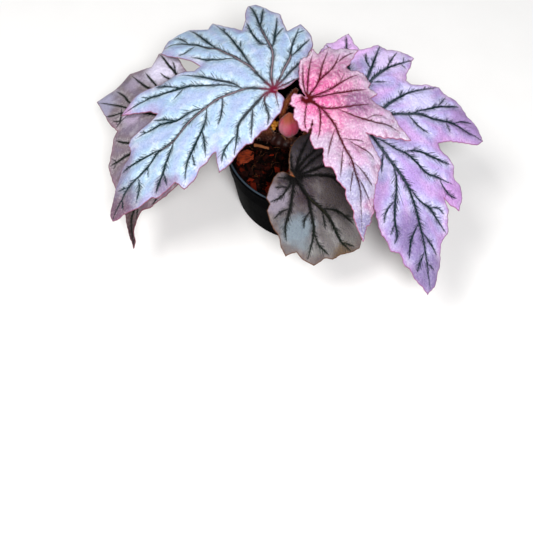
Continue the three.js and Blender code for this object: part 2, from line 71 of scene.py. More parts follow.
class Finish:
    """A material and short ways to lay its nodes. Sizes are in millimetres."""

    def __init__(self, name, **sockets):
        self.material = bpy.data.materials.new(name)
        self.material.use_nodes = True
        self.nodes = self.material.node_tree.nodes
        self.shader = self.nodes["Principled BSDF"]
        self.wear(**sockets)

    def set(self, node, sockets):
        """Gives a node's sockets numbers, web colours or what comes out of other nodes."""
        for key, value in sockets.items():
            socket = node.inputs[key.replace("_", " ") if isinstance(key, str) else key]
            if isinstance(value, bpy.types.NodeSocket):
                self.material.node_tree.links.new(value, socket)
            else:
                socket.default_value = colour(value) if isinstance(value, str) else value

    def add(self, kind, settings=None, **sockets):
        node = self.nodes.new("ShaderNode" + kind)
        for key, value in (settings or {}).items():
            setattr(node, key, value)
        self.set(node, sockets)
        return node

    def wear(self, **sockets):
        self.set(self.shader, sockets)

    def place(self):
        """Where on the object."""
        spot = self.add("TexCoord").outputs["Object"]
        node = self.add("VectorMath", {"operation": "SCALE"}, Vector=spot, Scale=1 / MM)
        return node.outputs["Vector"]

    def level(self, spot):
        """How high a place is."""
        return self.add("SeparateXYZ", Vector=spot).outputs["Z"]

    def read(self, field):
        """A value that the mesh holds at each of its points."""
        return self.add("Attribute", {"attribute_name": field}).outputs["Fac"]

    def grain(self, spot, size, detail=2, roughness=0.5):
        """Cloudy grain from 0 to 1, with lumps of this size."""
        node = self.add("TexNoise", Vector=spot, Scale=1 / size, Detail=detail, Roughness=roughness)
        return node.outputs["Fac"]

    def cells(self, spot, size, feature="F1"):
        node = self.add("TexVoronoi", {"feature": feature}, Vector=spot, Scale=1 / size)
        return node.outputs["Distance"]

    def worked(self, operation, *values):
        node = self.add("Math", {"operation": operation})
        self.set(node, dict(enumerate(values)))
        return node.outputs[0]

    def plus(self, first, second):
        return self.worked("ADD", first, second)

    def less(self, first, second):
        return self.worked("SUBTRACT", first, second)

    def times(self, first, second):
        return self.worked("MULTIPLY", first, second)

    def rise(self, value, low, high):
        """A soft step from 0 at low to 1 at high."""
        node = self.add("MapRange", {"interpolation_type": "SMOOTHSTEP"}, Value=value,
                        From_Min=low, From_Max=high)
        return node.outputs["Result"]

    def scaled(self, value, low, high):
        """A value from 0 to 1, stretched over low to high."""
        return self.add("MapRange", Value=value, To_Min=low, To_Max=high).outputs["Result"]

    def blend(self, share, first, second):
        node = self.add("Mix", {"data_type": "RGBA"})
        self.set(node, {0: share, 6: first, 7: second})
        return node.outputs[2]

    def bump(self, *layers):
        """Layers of (height from 0 to 1, depth), the last on top."""
        normal = None
        for height, depth in layers:
            node = self.add("Bump", Height=height, Distance=depth * MM)
            if normal:
                self.set(node, {"Normal": normal})
            normal = node.outputs["Normal"]
        self.wear(Normal=normal)


def placed(name, data):
    """A new object in the scene."""
    thing = bpy.data.objects.new(name, data)
    bpy.context.scene.collection.objects.link(thing)
    return thing


def meshed(name, points, faces):
    """A mesh from points in millimetres and faces."""
    mesh = bpy.data.meshes.new(name)
    mesh.from_pydata((np.asarray(points, float) * MM).tolist(), [], faces)
    return mesh


def make_piece(name, points, faces, materials, slot, replaces=(), sharp=40):
    """A smooth piece that stands with the plant, from points in millimetres and faces."""
    mesh = meshed(name, points, faces)
    mesh.shade_smooth()
    mesh.set_sharp_from_angle(angle=math.radians(sharp))
    for material in materials:
        mesh.materials.append(material)
    piece = placed(name, mesh)
    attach(piece, "root")
    if replaces:
        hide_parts(*replaces)
    return piece


def settled(piece):
    """The piece with its modifiers worked into its mesh."""
    view = bpy.context.evaluated_depsgraph_get()
    piece.data = bpy.data.meshes.new_from_object(piece.evaluated_get(view))
    piece.modifiers.clear()


def joined(parts):
    """Several lots of points and faces as one."""
    points, faces = [], []
    for part_points, part_faces in parts:
        start = len(points)
        points += [tuple(point) for point in part_points]
        faces += [tuple(corner + start for corner in face) for face in part_faces]
    return points, faces


def ring_faces(rings, sides):
    """The faces between closed rings of points that follow each other."""
    faces = []
    for ring in range(rings - 1):
        for k in range(sides):
            a, b = ring * sides + k, ring * sides + (k + 1) % sides
            faces.append((a, b, b + sides, a + sides))
    return faces


def turned(profile, sides):
    """A profile of (radius, height) turned on the pot's axis. It starts and ends on the axis."""
    angles = np.linspace(0, 2 * math.pi, sides, endpoint=False)
    rings = [
        np.stack([radius * np.cos(angles), radius * np.sin(angles), np.full(sides, height)], 1)
        for radius, height in profile[1:-1]
    ]
    points = np.vstack(rings + [[[0, 0, profile[0][1]], [0, 0, profile[-1][1]]]])
    first, last, end = len(points) - 2, len(points) - 1, (len(rings) - 1) * sides
    faces = ring_faces(len(rings), sides)
    for k in range(sides):
        after = (k + 1) % sides
        faces += [(first, after, k), (last, end + k, end + after)]
    return points, faces


def eased(profile, radius, steps=5):
    """The profile with each of its corners rounded by about this radius."""
    smooth = [profile[0]]
    for before, corner, after in zip(profile, profile[1:], profile[2:]):
        before, corner, after = (np.array(point, float) for point in (before, corner, after))
        reach = [min(radius / np.linalg.norm(end - corner), 0.45) for end in (before, after)]
        start, end = corner + (before - corner) * reach[0], corner + (after - corner) * reach[1]
        for t in np.linspace(0, 1, steps):
            smooth.append(tuple((1 - t) ** 2 * start + 2 * t * (1 - t) * corner + t * t * end))
    return smooth + [profile[-1]]


def wall_radius(height):
    """The outer radius of the wall below the collar."""
    return FOOT_RADIUS + (COLLAR_RADIUS - STEP_WIDTH - FOOT_RADIUS) * height / STEP_HEIGHT


plastic = Finish("black_plastic", Specular_IOR_Level=0.1, IOR=1.05)
spot = plastic.place()
scuffs = plastic.grain(spot, 9, 5, 0.65)
dust = plastic.rise(plastic.grain(spot, 2.2, 6, 0.7), 0.56, 0.8)
# The pale blue-grey line along the top of the rim is a painted highlight.
painted_rim_highlight = plastic.rise(plastic.level(spot), POT_HEIGHT - 0.3, POT_HEIGHT)
plastic.wear(
    Base_Color=plastic.blend(painted_rim_highlight, plastic.blend(dust, "#020203", "#0a0908"), "#3b4650"),
    Roughness=plastic.scaled(scuffs, 0.3, 0.5),
)
plastic.bump((scuffs, 0.25), (plastic.grain(spot, 0.5, 2), 0.06))

step_top, lip_foot = STEP_HEIGHT + 1, POT_HEIGHT - RIM_LIP_HEIGHT
pot_profile = [
    (0, 0),
    (FOOT_RADIUS - FOOT_CHAMFER, 0),
    (FOOT_RADIUS, FOOT_CHAMFER),
    (wall_radius(STEP_HEIGHT), STEP_HEIGHT),
    (COLLAR_RADIUS - COLLAR_DRAFT, step_top),
    (COLLAR_RADIUS, lip_foot),
    (RIM_RADIUS - 0.3, lip_foot + 0.4),
    (RIM_RADIUS, POT_HEIGHT - 1),
    (RIM_RADIUS - 0.8, POT_HEIGHT),
    (RIM_RADIUS - RIM_LIP_WIDTH, POT_HEIGHT),
    (COLLAR_RADIUS - WALL, POT_HEIGHT - 1.2),
    (COLLAR_RADIUS - COLLAR_DRAFT - WALL, step_top + WALL),
    (wall_radius(STEP_HEIGHT + WALL) - WALL, STEP_HEIGHT + WALL),
    (wall_radius(FLOOR) - WALL, FLOOR),
    (0, FLOOR),
]
pot = make_piece(
    "nursery_pot", *turned(eased(pot_profile, CORNER_ROUND), POT_SIDES), [plastic.material],
    "pot_plastic", ["pot"], sharp=30,
)
drill_points, drill_faces = turned(
    [(0, -3), (DRAIN_HOLE_RADIUS, -3), (DRAIN_HOLE_RADIUS, 5), (0, 5)], 32,
)
angles = 2 * math.pi * (np.arange(DRAIN_HOLES) + 0.5) / DRAIN_HOLES
middles = DRAIN_RING_RADIUS * np.column_stack([np.cos(angles), np.sin(angles), 0 * angles])
points, faces = joined((drill_points + middle, drill_faces) for middle in middles)
drills = placed("drain_holes", meshed("drain_holes", points, faces))
cut = pot.modifiers.new("drain_holes", "BOOLEAN")
cut.object = drills
cut.operation = "DIFFERENCE"
settled(pot)
bpy.data.objects.remove(drills)

# ---------------------------------------------------------------------------------------------
# The potting mix. Dark peat and fine bark, poured in and watered down to just under the collar.
# Its crumbs, bark flakes and coir fibres lie loose on top, half sunk into the rest.

SOIL_LEVEL = 44
SOIL_RELIEF = 1.6
SOIL_RINGS = 120
SOIL_SIDES = 320
SOIL_EDGE_DROP = 1.4
CLEARANCE = 0.3
CRUMBS = 3400
CRUMB_SIZES = [(0.8, 2.6), (0.7, 2), (0.5, 1.5)]
FLAKES = 260
FLAKE_SIZES = [(2.5, 6.5), (1.8, 4.2), (0.6, 1.4)]
FIBRES = 130
FIBRE_FIELD = 48
FIBRE_STEP = 1.3
FIBRE_RADII = [0.1, 0.16, 0.17, 0.17, 0.15, 0.12, 0.05]
draw = np.random.default_rng(7)


def lumps(x, y, size, seed):
    """Smooth random lumps of this size in millimetres, from -1 to 1."""
    column, row = np.floor(x / size), np.floor(y / size)
    u, v = x / size - column, y / size - row
    u, v = u * u * (3 - 2 * u), v * v * (3 - 2 * v)

    def corner(right, up):
        wild = np.sin((column + right) * 127.1 + (row + up) * 311.7 + seed * 74.7) * 43758.5453
        return (wild - np.floor(wild)) * 2 - 1

    low = corner(0, 0) * (1 - u) + corner(1, 0) * u
    high = corner(0, 1) * (1 - u) + corner(1, 1) * u
    return low * (1 - v) + high * v


def soil_height(x, y):
    """How high the uneven top of the mix is."""
    coarse = np.sin(x / 4.1 + 1.3) * np.sin(y / 3.7 + 0.4)
    fine = np.sin(x / 1.9 + y / 2.6) * np.sin(y / 2.2 - x / 3.1 + 2)
    height = SOIL_LEVEL + SOIL_RELIEF * (0.55 * coarse + 0.45 * fine)
    return height + 0.8 * lumps(x, y, 2.7, 1) + 0.5 * lumps(x, y, 1.3, 2)


def with_tone(piece, tones):
    """Stores how warm the piece's colour is at each of its points, from 0 to 1."""
    piece.data.attributes.new("tone", "FLOAT", "POINT").data.foreach_set("value", tones)


def earthy(name, dark, mid, warm, gloss):
    """A crumbly material between dark and mid, warmer where its piece's tone is high."""
    finish = Finish(name, Specular_IOR_Level=gloss)
    spot = finish.place()
    tone = finish.read("tone")
    fine = finish.grain(spot, 0.8, 5, 0.7)
    body = finish.blend(finish.rise(fine, 0.35, 0.7), dark, mid)
    finish.wear(
        Base_Color=finish.blend(tone, body, warm),
        Roughness=finish.scaled(fine, 0.6, 1),
    )
    finish.bump((fine, 0.5), (finish.cells(spot, 0.35), 0.15))
    return finish.material


peat = earthy("peat", "#010101", "#050202", "#0c0403", 0.05)
crumb = earthy("peat_crumb", "#020101", "#080302", "#360d05", 0.05)
flake = earthy("bark_flake", "#0b0302", "#280803", "#8a240a", 0.1)
fibre = earthy("coir_fibre", "#2a130a", "#402011", "#6a4022", 0.2)

top_radius = wall_radius(SOIL_LEVEL) - WALL - CLEARANCE
profile = [(0, SOIL_LEVEL)]
profile += [(top_radius * ring / SOIL_RINGS, SOIL_LEVEL) for ring in range(1, SOIL_RINGS + 1)]
profile += [(wall_radius(FLOOR) - WALL - 2 * CLEARANCE, FLOOR + CLEARANCE), (0, FLOOR + CLEARANCE)]
points, faces = turned(profile, SOIL_SIDES)
upper = points[:, 2] > SOIL_LEVEL / 2
x, y = points[upper, 0], points[upper, 1]
near_wall = np.clip((top_radius - np.hypot(x, y)) / 4, 0, 1)
edge_level = SOIL_LEVEL - SOIL_EDGE_DROP
points[upper, 2] = edge_level + (soil_height(x, y) - edge_level) * near_wall
soil = make_piece(
    "potting_mix", points, [face[::-1] for face in faces], [peat], "potting_mix", ["soil"],
)
with_tone(soil, np.clip(lumps(points[:, 0], points[:, 1], 6, 3), 0, 1))


def turn_about(yaw, lean, roll):
    """Three turns, in radians, as one matrix."""
    cy, sy, cl, sl, cr, sr = (f(a) for a in (yaw, lean, roll) for f in (math.cos, math.sin))
    about_z = np.array([[cy, -sy, 0], [sy, cy, 0], [0, 0, 1]])
    about_y = np.array([[cl, 0, sl], [0, 1, 0], [-sl, 0, cl]])
    about_x = np.array([[1, 0, 0], [0, cr, -sr], [0, sr, cr]])
    return about_z @ about_y @ about_x


BLOCK_CORNERS = np.array([(i, j, k) for i in (-1, 1) for j in (-1, 1) for k in (-1, 1)]) / 2
BLOCK_FACES = [(0, 1, 3, 2), (4, 6, 7, 5), (0, 4, 5, 1), (2, 3, 7, 6), (0, 2, 6, 4), (1, 5, 7, 3)]


def scattered(name, count, sizes, lift, tilt, material):
    """Broken blocks of random size, strewn over the soil inside the pot."""
    blocks, tones = [], []
    for _ in range(count):
        radius = (top_radius - 1.5) * math.sqrt(draw.random())
        bearing = draw.uniform(0, 2 * math.pi)
        x, y = radius * math.cos(bearing), radius * math.sin(bearing)
        size = [draw.uniform(low, high) for low, high in sizes]
        block = (BLOCK_CORNERS + draw.uniform(-0.22, 0.22, (8, 3))) * size
        block = block @ turn_about(bearing * 7, draw.normal(0, tilt), draw.normal(0, tilt)).T
        blocks.append((block + [x, y, soil_height(x, y) + lift], BLOCK_FACES))
        tones += [draw.random() ** 4] * len(block)
    piece = make_piece(name, *joined(blocks), [material], "potting_mix", sharp=25)
    with_tone(piece, tones)


scattered("peat_crumbs", CRUMBS, CRUMB_SIZES, 0.2, 0.7, crumb)
scattered("bark_flakes", FLAKES, FLAKE_SIZES, 0.5, 0.3, flake)


def tube(path, radii, sides, section=None):
    """A closed tube of points and faces along a path, with a radius at each of its points."""
    path = np.asarray(path, float)
    along = np.gradient(path, axis=0)
    along /= np.linalg.norm(along, axis=1)[:, None]
    side = np.cross(along[0], [0.3, 0.2, 0.93])
    points = []
    for spot, way, radius in zip(path, along, radii):
        side = side - way * (side @ way)
        side /= np.linalg.norm(side)
        other = np.cross(way, side)
        for angle in np.linspace(0, 2 * math.pi, sides, endpoint=False):
            reach = radius * (section(angle) if section else 1)
            points.append(spot + reach * (math.cos(angle) * side + math.sin(angle) * other))
    last = range((len(path) - 1) * sides, len(path) * sides)
    return points, [tuple(range(sides))[::-1]] + ring_faces(len(path), sides) + [tuple(last)]


def bundle(name, tubes, material, slot, tones=0.5, replaces=()):
    """Many tubes as one piece, all in one tone or each in its own."""
    piece = make_piece(name, *joined(tubes), [material], slot, replaces, sharp=60)
    tones = np.broadcast_to(tones, len(tubes))
    with_tone(piece, np.repeat(tones, [len(points) for points, _ in tubes]))
    return piece


strands = []
for _ in range(FIBRES):
    radius, bearing = FIBRE_FIELD * math.sqrt(draw.random()), draw.uniform(0, 2 * math.pi)
    heading, bend = draw.uniform(0, 2 * math.pi), draw.normal(0, 0.5)
    x, y = radius * math.cos(bearing), radius * math.sin(bearing)
    path = []
    for _ in FIBRE_RADII:
        if math.hypot(x, y) > FIBRE_FIELD + 1:
            heading += 1.6
        path.append((x, y, soil_height(x, y) + 0.7))
        x, y = x + FIBRE_STEP * math.cos(heading), y + FIBRE_STEP * math.sin(heading)
        heading += bend * 0.5
    strands.append(tube(path, FIBRE_RADII, 5))
bundle("coir_fibres", strands, fibre, "potting_mix", draw.random(FIBRES))

# ---------------------------------------------------------------------------------------------
# What lies on the mix. Orange coated grains of slow feed, dropped in a little heap, a chip of red
# bark that broke off in layers, and a bit of barked twig.

FEED_GRAINS = [(-21.7, 28.8), (-18.9, 28), (-22.9, 26), (-20.6, 26.2), (-22.3, 23.2)]
FEED_GRAIN_RADIUS = 1.7
FEED_GRAIN_LIFT = 1.4
CHIP_PLACE = (-44, -4, 45.2)
CHIP_SIZE = (15, 11, 5)
CHIP_TURN = 35
CHIP_LEAN = 8
CHIP_LEVELS = 9
CHIP_OUTLINE = [
    (-0.5, -0.2), (-0.2, -0.5), (0.3, -0.42), (0.5, 0), (0.34, 0.44), (-0.1, 0.5), (-0.42, 0.3),
]
TWIG = [(-37.6, 7.2, 45.3), (-26, 4, 46)]
TWIG_RADIUS = 1.3
TWIG_STEPS = 24

wax = Finish("feed_coating", Specular_IOR_Level=0.6, Coat_Weight=0.5, Coat_Roughness=0.15)
spot = wax.place()
cloud = wax.grain(spot, 1.1, 3)
wax.wear(
    Base_Color=wax.blend(wax.rise(cloud, 0.3, 0.7), "#f0860c", "#ffb93e"),
    Roughness=wax.scaled(cloud, 0.2, 0.45),
    Subsurface_Weight=0.2,
    Subsurface_Radius=(0.002, 0.001, 0.0005),
)
wax.bump((wax.grain(spot, 0.35, 2), 0.06))
ball = [(math.sin(a), -math.cos(a)) for a in np.linspace(0.15, 2.99, 18)]
points, faces = turned([(0, -1)] + ball + [(0, 1)], 32)
grains = []
for x, y in FEED_GRAINS:
    squash = 1 + 0.06 * lumps(points[:, 0] * 2 + x, points[:, 2] * 2 + y, 1, 4)
    middle = [x, y, SOIL_LEVEL + FEED_GRAIN_LIFT]
    grains.append((points * squash[:, None] * FEED_GRAIN_RADIUS + middle, faces))
make_piece("feed_grain_heap", *joined(grains), [wax.material], "feed", ["feed_grains"])

bark = Finish("bark", Specular_IOR_Level=0.3)
spot = bark.place()
stretched = bark.add("VectorMath", {"operation": "MULTIPLY"}, Vector=spot)
bark.set(stretched, {1: (0.35, 1, 1.8)})
layers = bark.grain(stretched.outputs["Vector"], 1.2, 6, 0.7)
bark.wear(
    Base_Color=bark.blend(bark.rise(layers, 0.35, 0.65), "#3c0d04", "#a53c12"),
    Roughness=bark.scaled(layers, 0.55, 0.95),
)
bark.bump((layers, 0.8), (bark.grain(spot, 0.3, 3), 0.12))

outline = []
for (ax, ay), (bx, by) in zip(CHIP_OUTLINE, CHIP_OUTLINE[1:] + CHIP_OUTLINE[:1]):
    outline += [(ax + (bx - ax) * t, ay + (by - ay) * t) for t in np.linspace(0, 1, 9)[:-1]]
outline = np.array(outline) * CHIP_SIZE[:2]
rings = []
for level in np.linspace(-0.5, 0.5, CHIP_LEVELS):
    ragged = 1 - 0.1 * np.abs(lumps(outline[:, 0] + level * 9, outline[:, 1], 1.6, 5))
    ragged *= 0.9 + 0.1 * math.cos(level * 16)
    height = np.full(len(outline), level * CHIP_SIZE[2])
    rings.append(np.column_stack([outline * ragged[:, None], height]))
for share in (0.66, 0.33):
    inner = outline * share
    height = 0.5 * CHIP_SIZE[2] + 0.5 * lumps(inner[:, 0], inner[:, 1], 2, 6) - 0.4
    rings.append(np.column_stack([inner, height]))
count = len(outline)
faces = ring_faces(len(rings), count)
faces += [tuple(range(count))[::-1], tuple(range((len(rings) - 1) * count, len(rings) * count))]
chip_turn = turn_about(math.radians(CHIP_TURN), math.radians(CHIP_LEAN), 0)
make_piece(
    "layered_bark_chip", np.vstack(rings) @ chip_turn.T + CHIP_PLACE, faces, [bark.material],
    "bark", ["bark_chip"], sharp=30,
)

twig_bark = earthy("twig_bark", "#451a0c", "#75381c", "#a5673c", 0.3)
path = np.linspace(*(np.array(end) for end in TWIG), TWIG_STEPS)
path[:, 1] += 0.35 * np.sin(np.linspace(0, 5, TWIG_STEPS))
taper = np.linspace(1, 0.8, TWIG_STEPS)
knots = TWIG_RADIUS * (taper + 0.08 * np.sin(np.linspace(0, 17, TWIG_STEPS)))
bundle("twig_bit", [tube(path, knots, 20)], twig_bark, "bark", 0.7, ["twig"])

# ---------------------------------------------------------------------------------------------
# The rhizome and its stalks. One fleshy creeping stem, half out of the mix, ringed with old leaf
# scars. The leaf stalks grow out of it, brown-red and hairy, with papery stipules at their feet.

RHIZOME = [(-24, 14, 44), (-4, 5, 47), (10, -4, 45)]
RHIZOME_RADIUS = 6
STALK_ROOT_RADIUS = 3.3
STALK_MIDDLE_RADIUS = 2.5
STALK_TOP_RADIUS = 2
STALK_SIDES = 20
STALK_GAP = 0.7  # between a stalk's top and its blade
BUD_SEAT = (-11, 8, 57)
BUD_STALK = (0.42, (-2, 2, 5), 4)
BARE_STALK = [(-14, 12, 45), (-16, 19.5, 60), (-13, 26, 73), (-5, 31, 84)]
GROWN_GRID = 0.55
FRESH_RISE = (50, 66)  # the heights between which old brown skin turns fresh
HAIRS_PER_MM = 9
HAIR_LENGTHS = (0.7, 2.1)
HAIR_RADII = [0.07, 0.05, 0.012]
STIPULE_LENGTH = 9
STIPULE_WIDTH = 3.4
STIPULE_THICKNESS = 0.25
STIPULE_ROWS, STIPULE_COLUMNS = 12, 8

# Each blade: where its stalk meets it, which way its longest lobe runs and how it is tipped, how
# it arches to the tip, to the back and to its two sides, and the slow waves round its margin.
BLADES = {
    "blade_silver": dict(
        seat=(-23, -4, 126), heading=214, pitch=6, arch=(215, 150, 150, 165), wave=(3, 5, 20),
    ),
    "blade_young": dict(
        seat=(-1, -23, 140), heading=-67, pitch=10, arch=(210, 130, 165, 130), wave=(3, 6, 140),
    ),
    "blade_mauve": dict(
        seat=(32, -14, 116), heading=-65, pitch=10, arch=(240, 130, 210, 130), wave=(3, 5, 200),
    ),
    "blade_old": dict(
        seat=(-8, -48, 84), heading=-58, pitch=16, arch=(130, 100, 130, 100), wave=(4, 5, 80),
    ),
    "blade_low": dict(
        seat=(-71, -10, 97), heading=236, pitch=14, arch=(130, 100, 150, 130), wave=(3, 4, 300),
    ),
}
# Where on the rhizome each stalk starts, from 0 to 1, how it leans out, and its rise to the blade.
STALKS = {
    "blade_silver": (0.06, (-20, 6, 28), 34),
    "blade_young": (0.65, (6, 2, 40), 34),
    "blade_mauve": (0.92, (14, 2, 34), 26),
    "blade_old": (0.5, (-1, -16, 22), 16),
    "blade_low": (0, (-26, -2, 24), 20),
}


def blade_axes(blade):
    """The blade's own forward, left and up directions."""
    heading, pitch = math.radians(blade["heading"]), math.radians(blade["pitch"])
    forward = [
        math.cos(heading) * math.cos(pitch), math.sin(heading) * math.cos(pitch), -math.sin(pitch),
    ]
    left = [-math.sin(heading), math.cos(heading), 0]
    return np.array([forward, left, np.cross(forward, left)])


def through(points, shares):
    """A smooth line through the points, at shares of its length from 0 to 1."""
    knots = np.array([2 * np.array(points[0]) - points[1], *points,
                      2 * np.array(points[-1]) - points[-2]], float)
    line = []
    for share in shares:
        at = share * (len(points) - 1)
        i = min(int(at), len(points) - 2)
        t = at - i
        a, b, c, d = knots[i:i + 4]
        line.append(0.5 * (2 * b + (c - a) * t + (2 * a - 5 * b + 4 * c - d) * t * t
                           + (3 * b - a - 3 * c + d) * t ** 3))
    return np.array(line)


def bowed(root, lean, rise, end, up, steps):
    """A stalk's middle line: out of the rhizome at this share of it, then up into the blade."""
    start = through(RHIZOME, [root])[0]
    second, third = start + lean, end - up * rise
    t = np.linspace(0, 1, steps)[:, None]
    return ((1 - t) ** 3 * start + 3 * t * (1 - t) ** 2 * second
            + 3 * t * t * (1 - t) * third + t ** 3 * end)


def ribbed(angle):
    """A stalk's section: round, with faint ribs."""
    return 1 + 0.05 * math.cos(3 * angle) + 0.03 * math.cos(5 * angle + 1)


shares = np.linspace(0, 1, 60)
rings = 1 + 0.05 * np.sin(shares * 50) - 0.35 * (2 * shares - 1) ** 8
stems = [(through(RHIZOME, shares), RHIZOME_RADIUS * rings, 32)]
stalk_radii = np.interp(
    np.linspace(0, 1, 90),
    [0, 0.05, 0.5, 0.95, 1],
    [STALK_ROOT_RADIUS + 0.6, STALK_ROOT_RADIUS, STALK_MIDDLE_RADIUS, STALK_TOP_RADIUS,
     STALK_TOP_RADIUS + 0.7],
)
for name, (root, lean, rise) in STALKS.items():
    up = blade_axes(BLADES[name])[2]
    end = np.array(BLADES[name]["seat"]) - up * STALK_GAP
    path = bowed(root, np.array(lean), rise, end, up, len(stalk_radii))
    stems.append((path, stalk_radii, STALK_SIDES))
up = np.array([0, 0, 1])
root, lean, rise = BUD_STALK
path = bowed(root, np.array(lean), rise, np.array(BUD_SEAT) + up, up, 20)
stems.append((path, np.linspace(STALK_ROOT_RADIUS, 2.4, 20), STALK_SIDES))
path = through(BARE_STALK, np.linspace(0, 1, 50))
bare_radii = np.linspace(2.6, 1.9, 50) + 0.15 * np.sin(np.linspace(0, 30, 50))
stems.append((path, bare_radii, STALK_SIDES))

skin = Finish("stalk_skin", Specular_IOR_Level=0.45)
spot = skin.place()
streaks = skin.grain(spot, 3.5, 4, 0.6)
fresh = skin.blend(skin.rise(streaks, 0.35, 0.65), "#7a2a18", "#b8682c")
flecks = skin.rise(skin.cells(spot, 1.3), 0.12, 0.3)
fresh = skin.blend(flecks, "#d9a07c", fresh)
old = skin.blend(streaks, "#120504", "#3a120a")
skin.wear(
    Base_Color=skin.blend(skin.rise(skin.level(spot), *FRESH_RISE), old, fresh),
    Roughness=skin.scaled(streaks, 0.38, 0.6),
    Subsurface_Weight=0.1,
    Subsurface_Radius=(0.002, 0.0008, 0.0004),
)
skin.bump((streaks, 0.5), (skin.grain(spot, 0.6, 3), 0.12))

stalks = bundle(
    "rhizome_with_stalks", [tube(path, radii, sides, ribbed) for path, radii, sides in stems],
    skin.material, "stalk", replaces=["rhizome_and_stalks"],
)
grown = stalks.modifiers.new("grown_together", "REMESH")
grown.mode = "VOXEL"
grown.voxel_size = GROWN_GRID * MM
grown.use_smooth_shade = True
soft = stalks.modifiers.new("soft_joints", "SMOOTH")
soft.iterations = 3
settled(stalks)

hair = Finish("stalk_hair", Specular_IOR_Level=0.4, Roughness=0.5)
pale = hair.grain(hair.place(), 6, 2)
hair.wear(Base_Color=hair.blend(pale, "#8c4a3a", "#d8b3a0"))


def hairs(lines, per_mm, lengths):
    """Short curved hairs, standing off round each of the lines."""
    strands = []
    for path, radii, _ in lines:
        length = np.linalg.norm(np.diff(path, axis=0), axis=1).sum()
        ways = np.gradient(path, axis=0)
        for _ in range(int(length * per_mm)):
            i = draw.integers(2, len(path) - 3)
            way = ways[i] / np.linalg.norm(ways[i])
            out = np.cross(way, draw.normal(0, 1, 3))
            out /= np.linalg.norm(out)
            root = path[i] + (path[i + 1] - path[i]) * draw.random() + out * (radii[i] - 0.15)
            reach = draw.uniform(*lengths)
            droop = np.array([0, 0, -0.25]) + 0.3 * way
            bend = [root, root + out * reach * 0.55, root + (out + 0.5 * droop) * reach]
            strands.append(tube(bend, HAIR_RADII, 3))
    return strands


bundle("stalk_hairs", hairs(stems[1:], HAIRS_PER_MM, HAIR_LENGTHS), hair.material, "stalk")

papery = earthy("stipule", "#4a2415", "#8a5534", "#c79a6b", 0.3)
scales = []
row_step = STIPULE_COLUMNS + 1
scale_faces = [
    (a, a + 1, a + row_step + 1, a + row_step)
    for i in range(STIPULE_ROWS) for a in range(i * row_step, i * row_step + STIPULE_COLUMNS)
]
for path, radii, _ in stems[1:7]:
    for turn in (0.4, 2.6):
        foot, way = path[4], path[8] - path[4]
        way = way / np.linalg.norm(way)
        out = np.cross(way, [math.cos(turn * 3), math.sin(turn * 3), 0.2])
        out /= np.linalg.norm(out)
        across = np.cross(way, out)
        points = []
        for t in np.arange(STIPULE_ROWS + 1) / STIPULE_ROWS:
            half = STIPULE_WIDTH * (1 - t) ** 0.8 * (0.7 + 0.6 * t)
            for s in np.linspace(-1, 1, row_step):
                off = radii[4] + 0.4 + 2.2 * t * t + 0.25 * math.sin(9 * t + 3 * s)
                points.append(foot + way * STIPULE_LENGTH * t + out * off * (1 - 0.25 * s * s)
                              + across * half * s)
        scales.append((points, scale_faces))
points, faces = joined(scales)
stipules = make_piece("stipules", points, faces, [papery], "stalk")
with_tone(stipules, np.linspace(0, 1, len(points)) % 0.31 * 3)
leafy = stipules.modifiers.new("thickness", "SOLIDIFY")
leafy.thickness = STIPULE_THICKNESS * MM
settled(stipules)

# ---------------------------------------------------------------------------------------------
# The leaf blades. Thin lobed sheets with a pearly upper skin, dark feathered bands along the
# sunken veins and a maroon underside with raised ribs. Each grew in one piece with its stalk.

MESH_STEP = 0.8
BLADE_EDGE = 0.35  # how thick at the margin
BLADE_BODY = 0.75  # how thick away from it
SHARP_TURN = 42  # degrees; the outline is curved where it turns less
TOOTH_SIZE = 3.1
SMALL_TOOTH_SIZE = 1.4
MARGIN_ROLL = 0.9
MARGIN_FRILL = 0.6
VEIN_STEP = 0.3
FULL_MAIN_VEIN = 60  # the length from which the band is in full
FULL_SIDE_VEIN = 38
BRANCH_REACH = 4  # a branch that starts this near to its vein is joined to it
PAD_SLOPE = 3.6
RIB_HEIGHT = 0.9
CREASE_HEIGHT = 1.1
CREASE_WIDTH = 1.6
NO_CREASE = 99  # how far off a crease is where there is none
CLOUD_SIZE = 15
FLECK_SIZE = 1.3
BLISTER_SIZE = 0.9
CRINKLE_GLINT_SIZE = 1.7
NET_SIZE = 2.6
BARBS_PER_MM = 1.25
BARB_SLANT = 1.25
BRUSHES_PER_MM = 0.11  # how often the barbs get bushy along a vein
OTHER_SIDE = 400  # makes the barbs on a vein's two sides differ
PATCH_CORE = 0.35
PATCH_STRENGTH = 0.85
WHITE = "#ffffff"

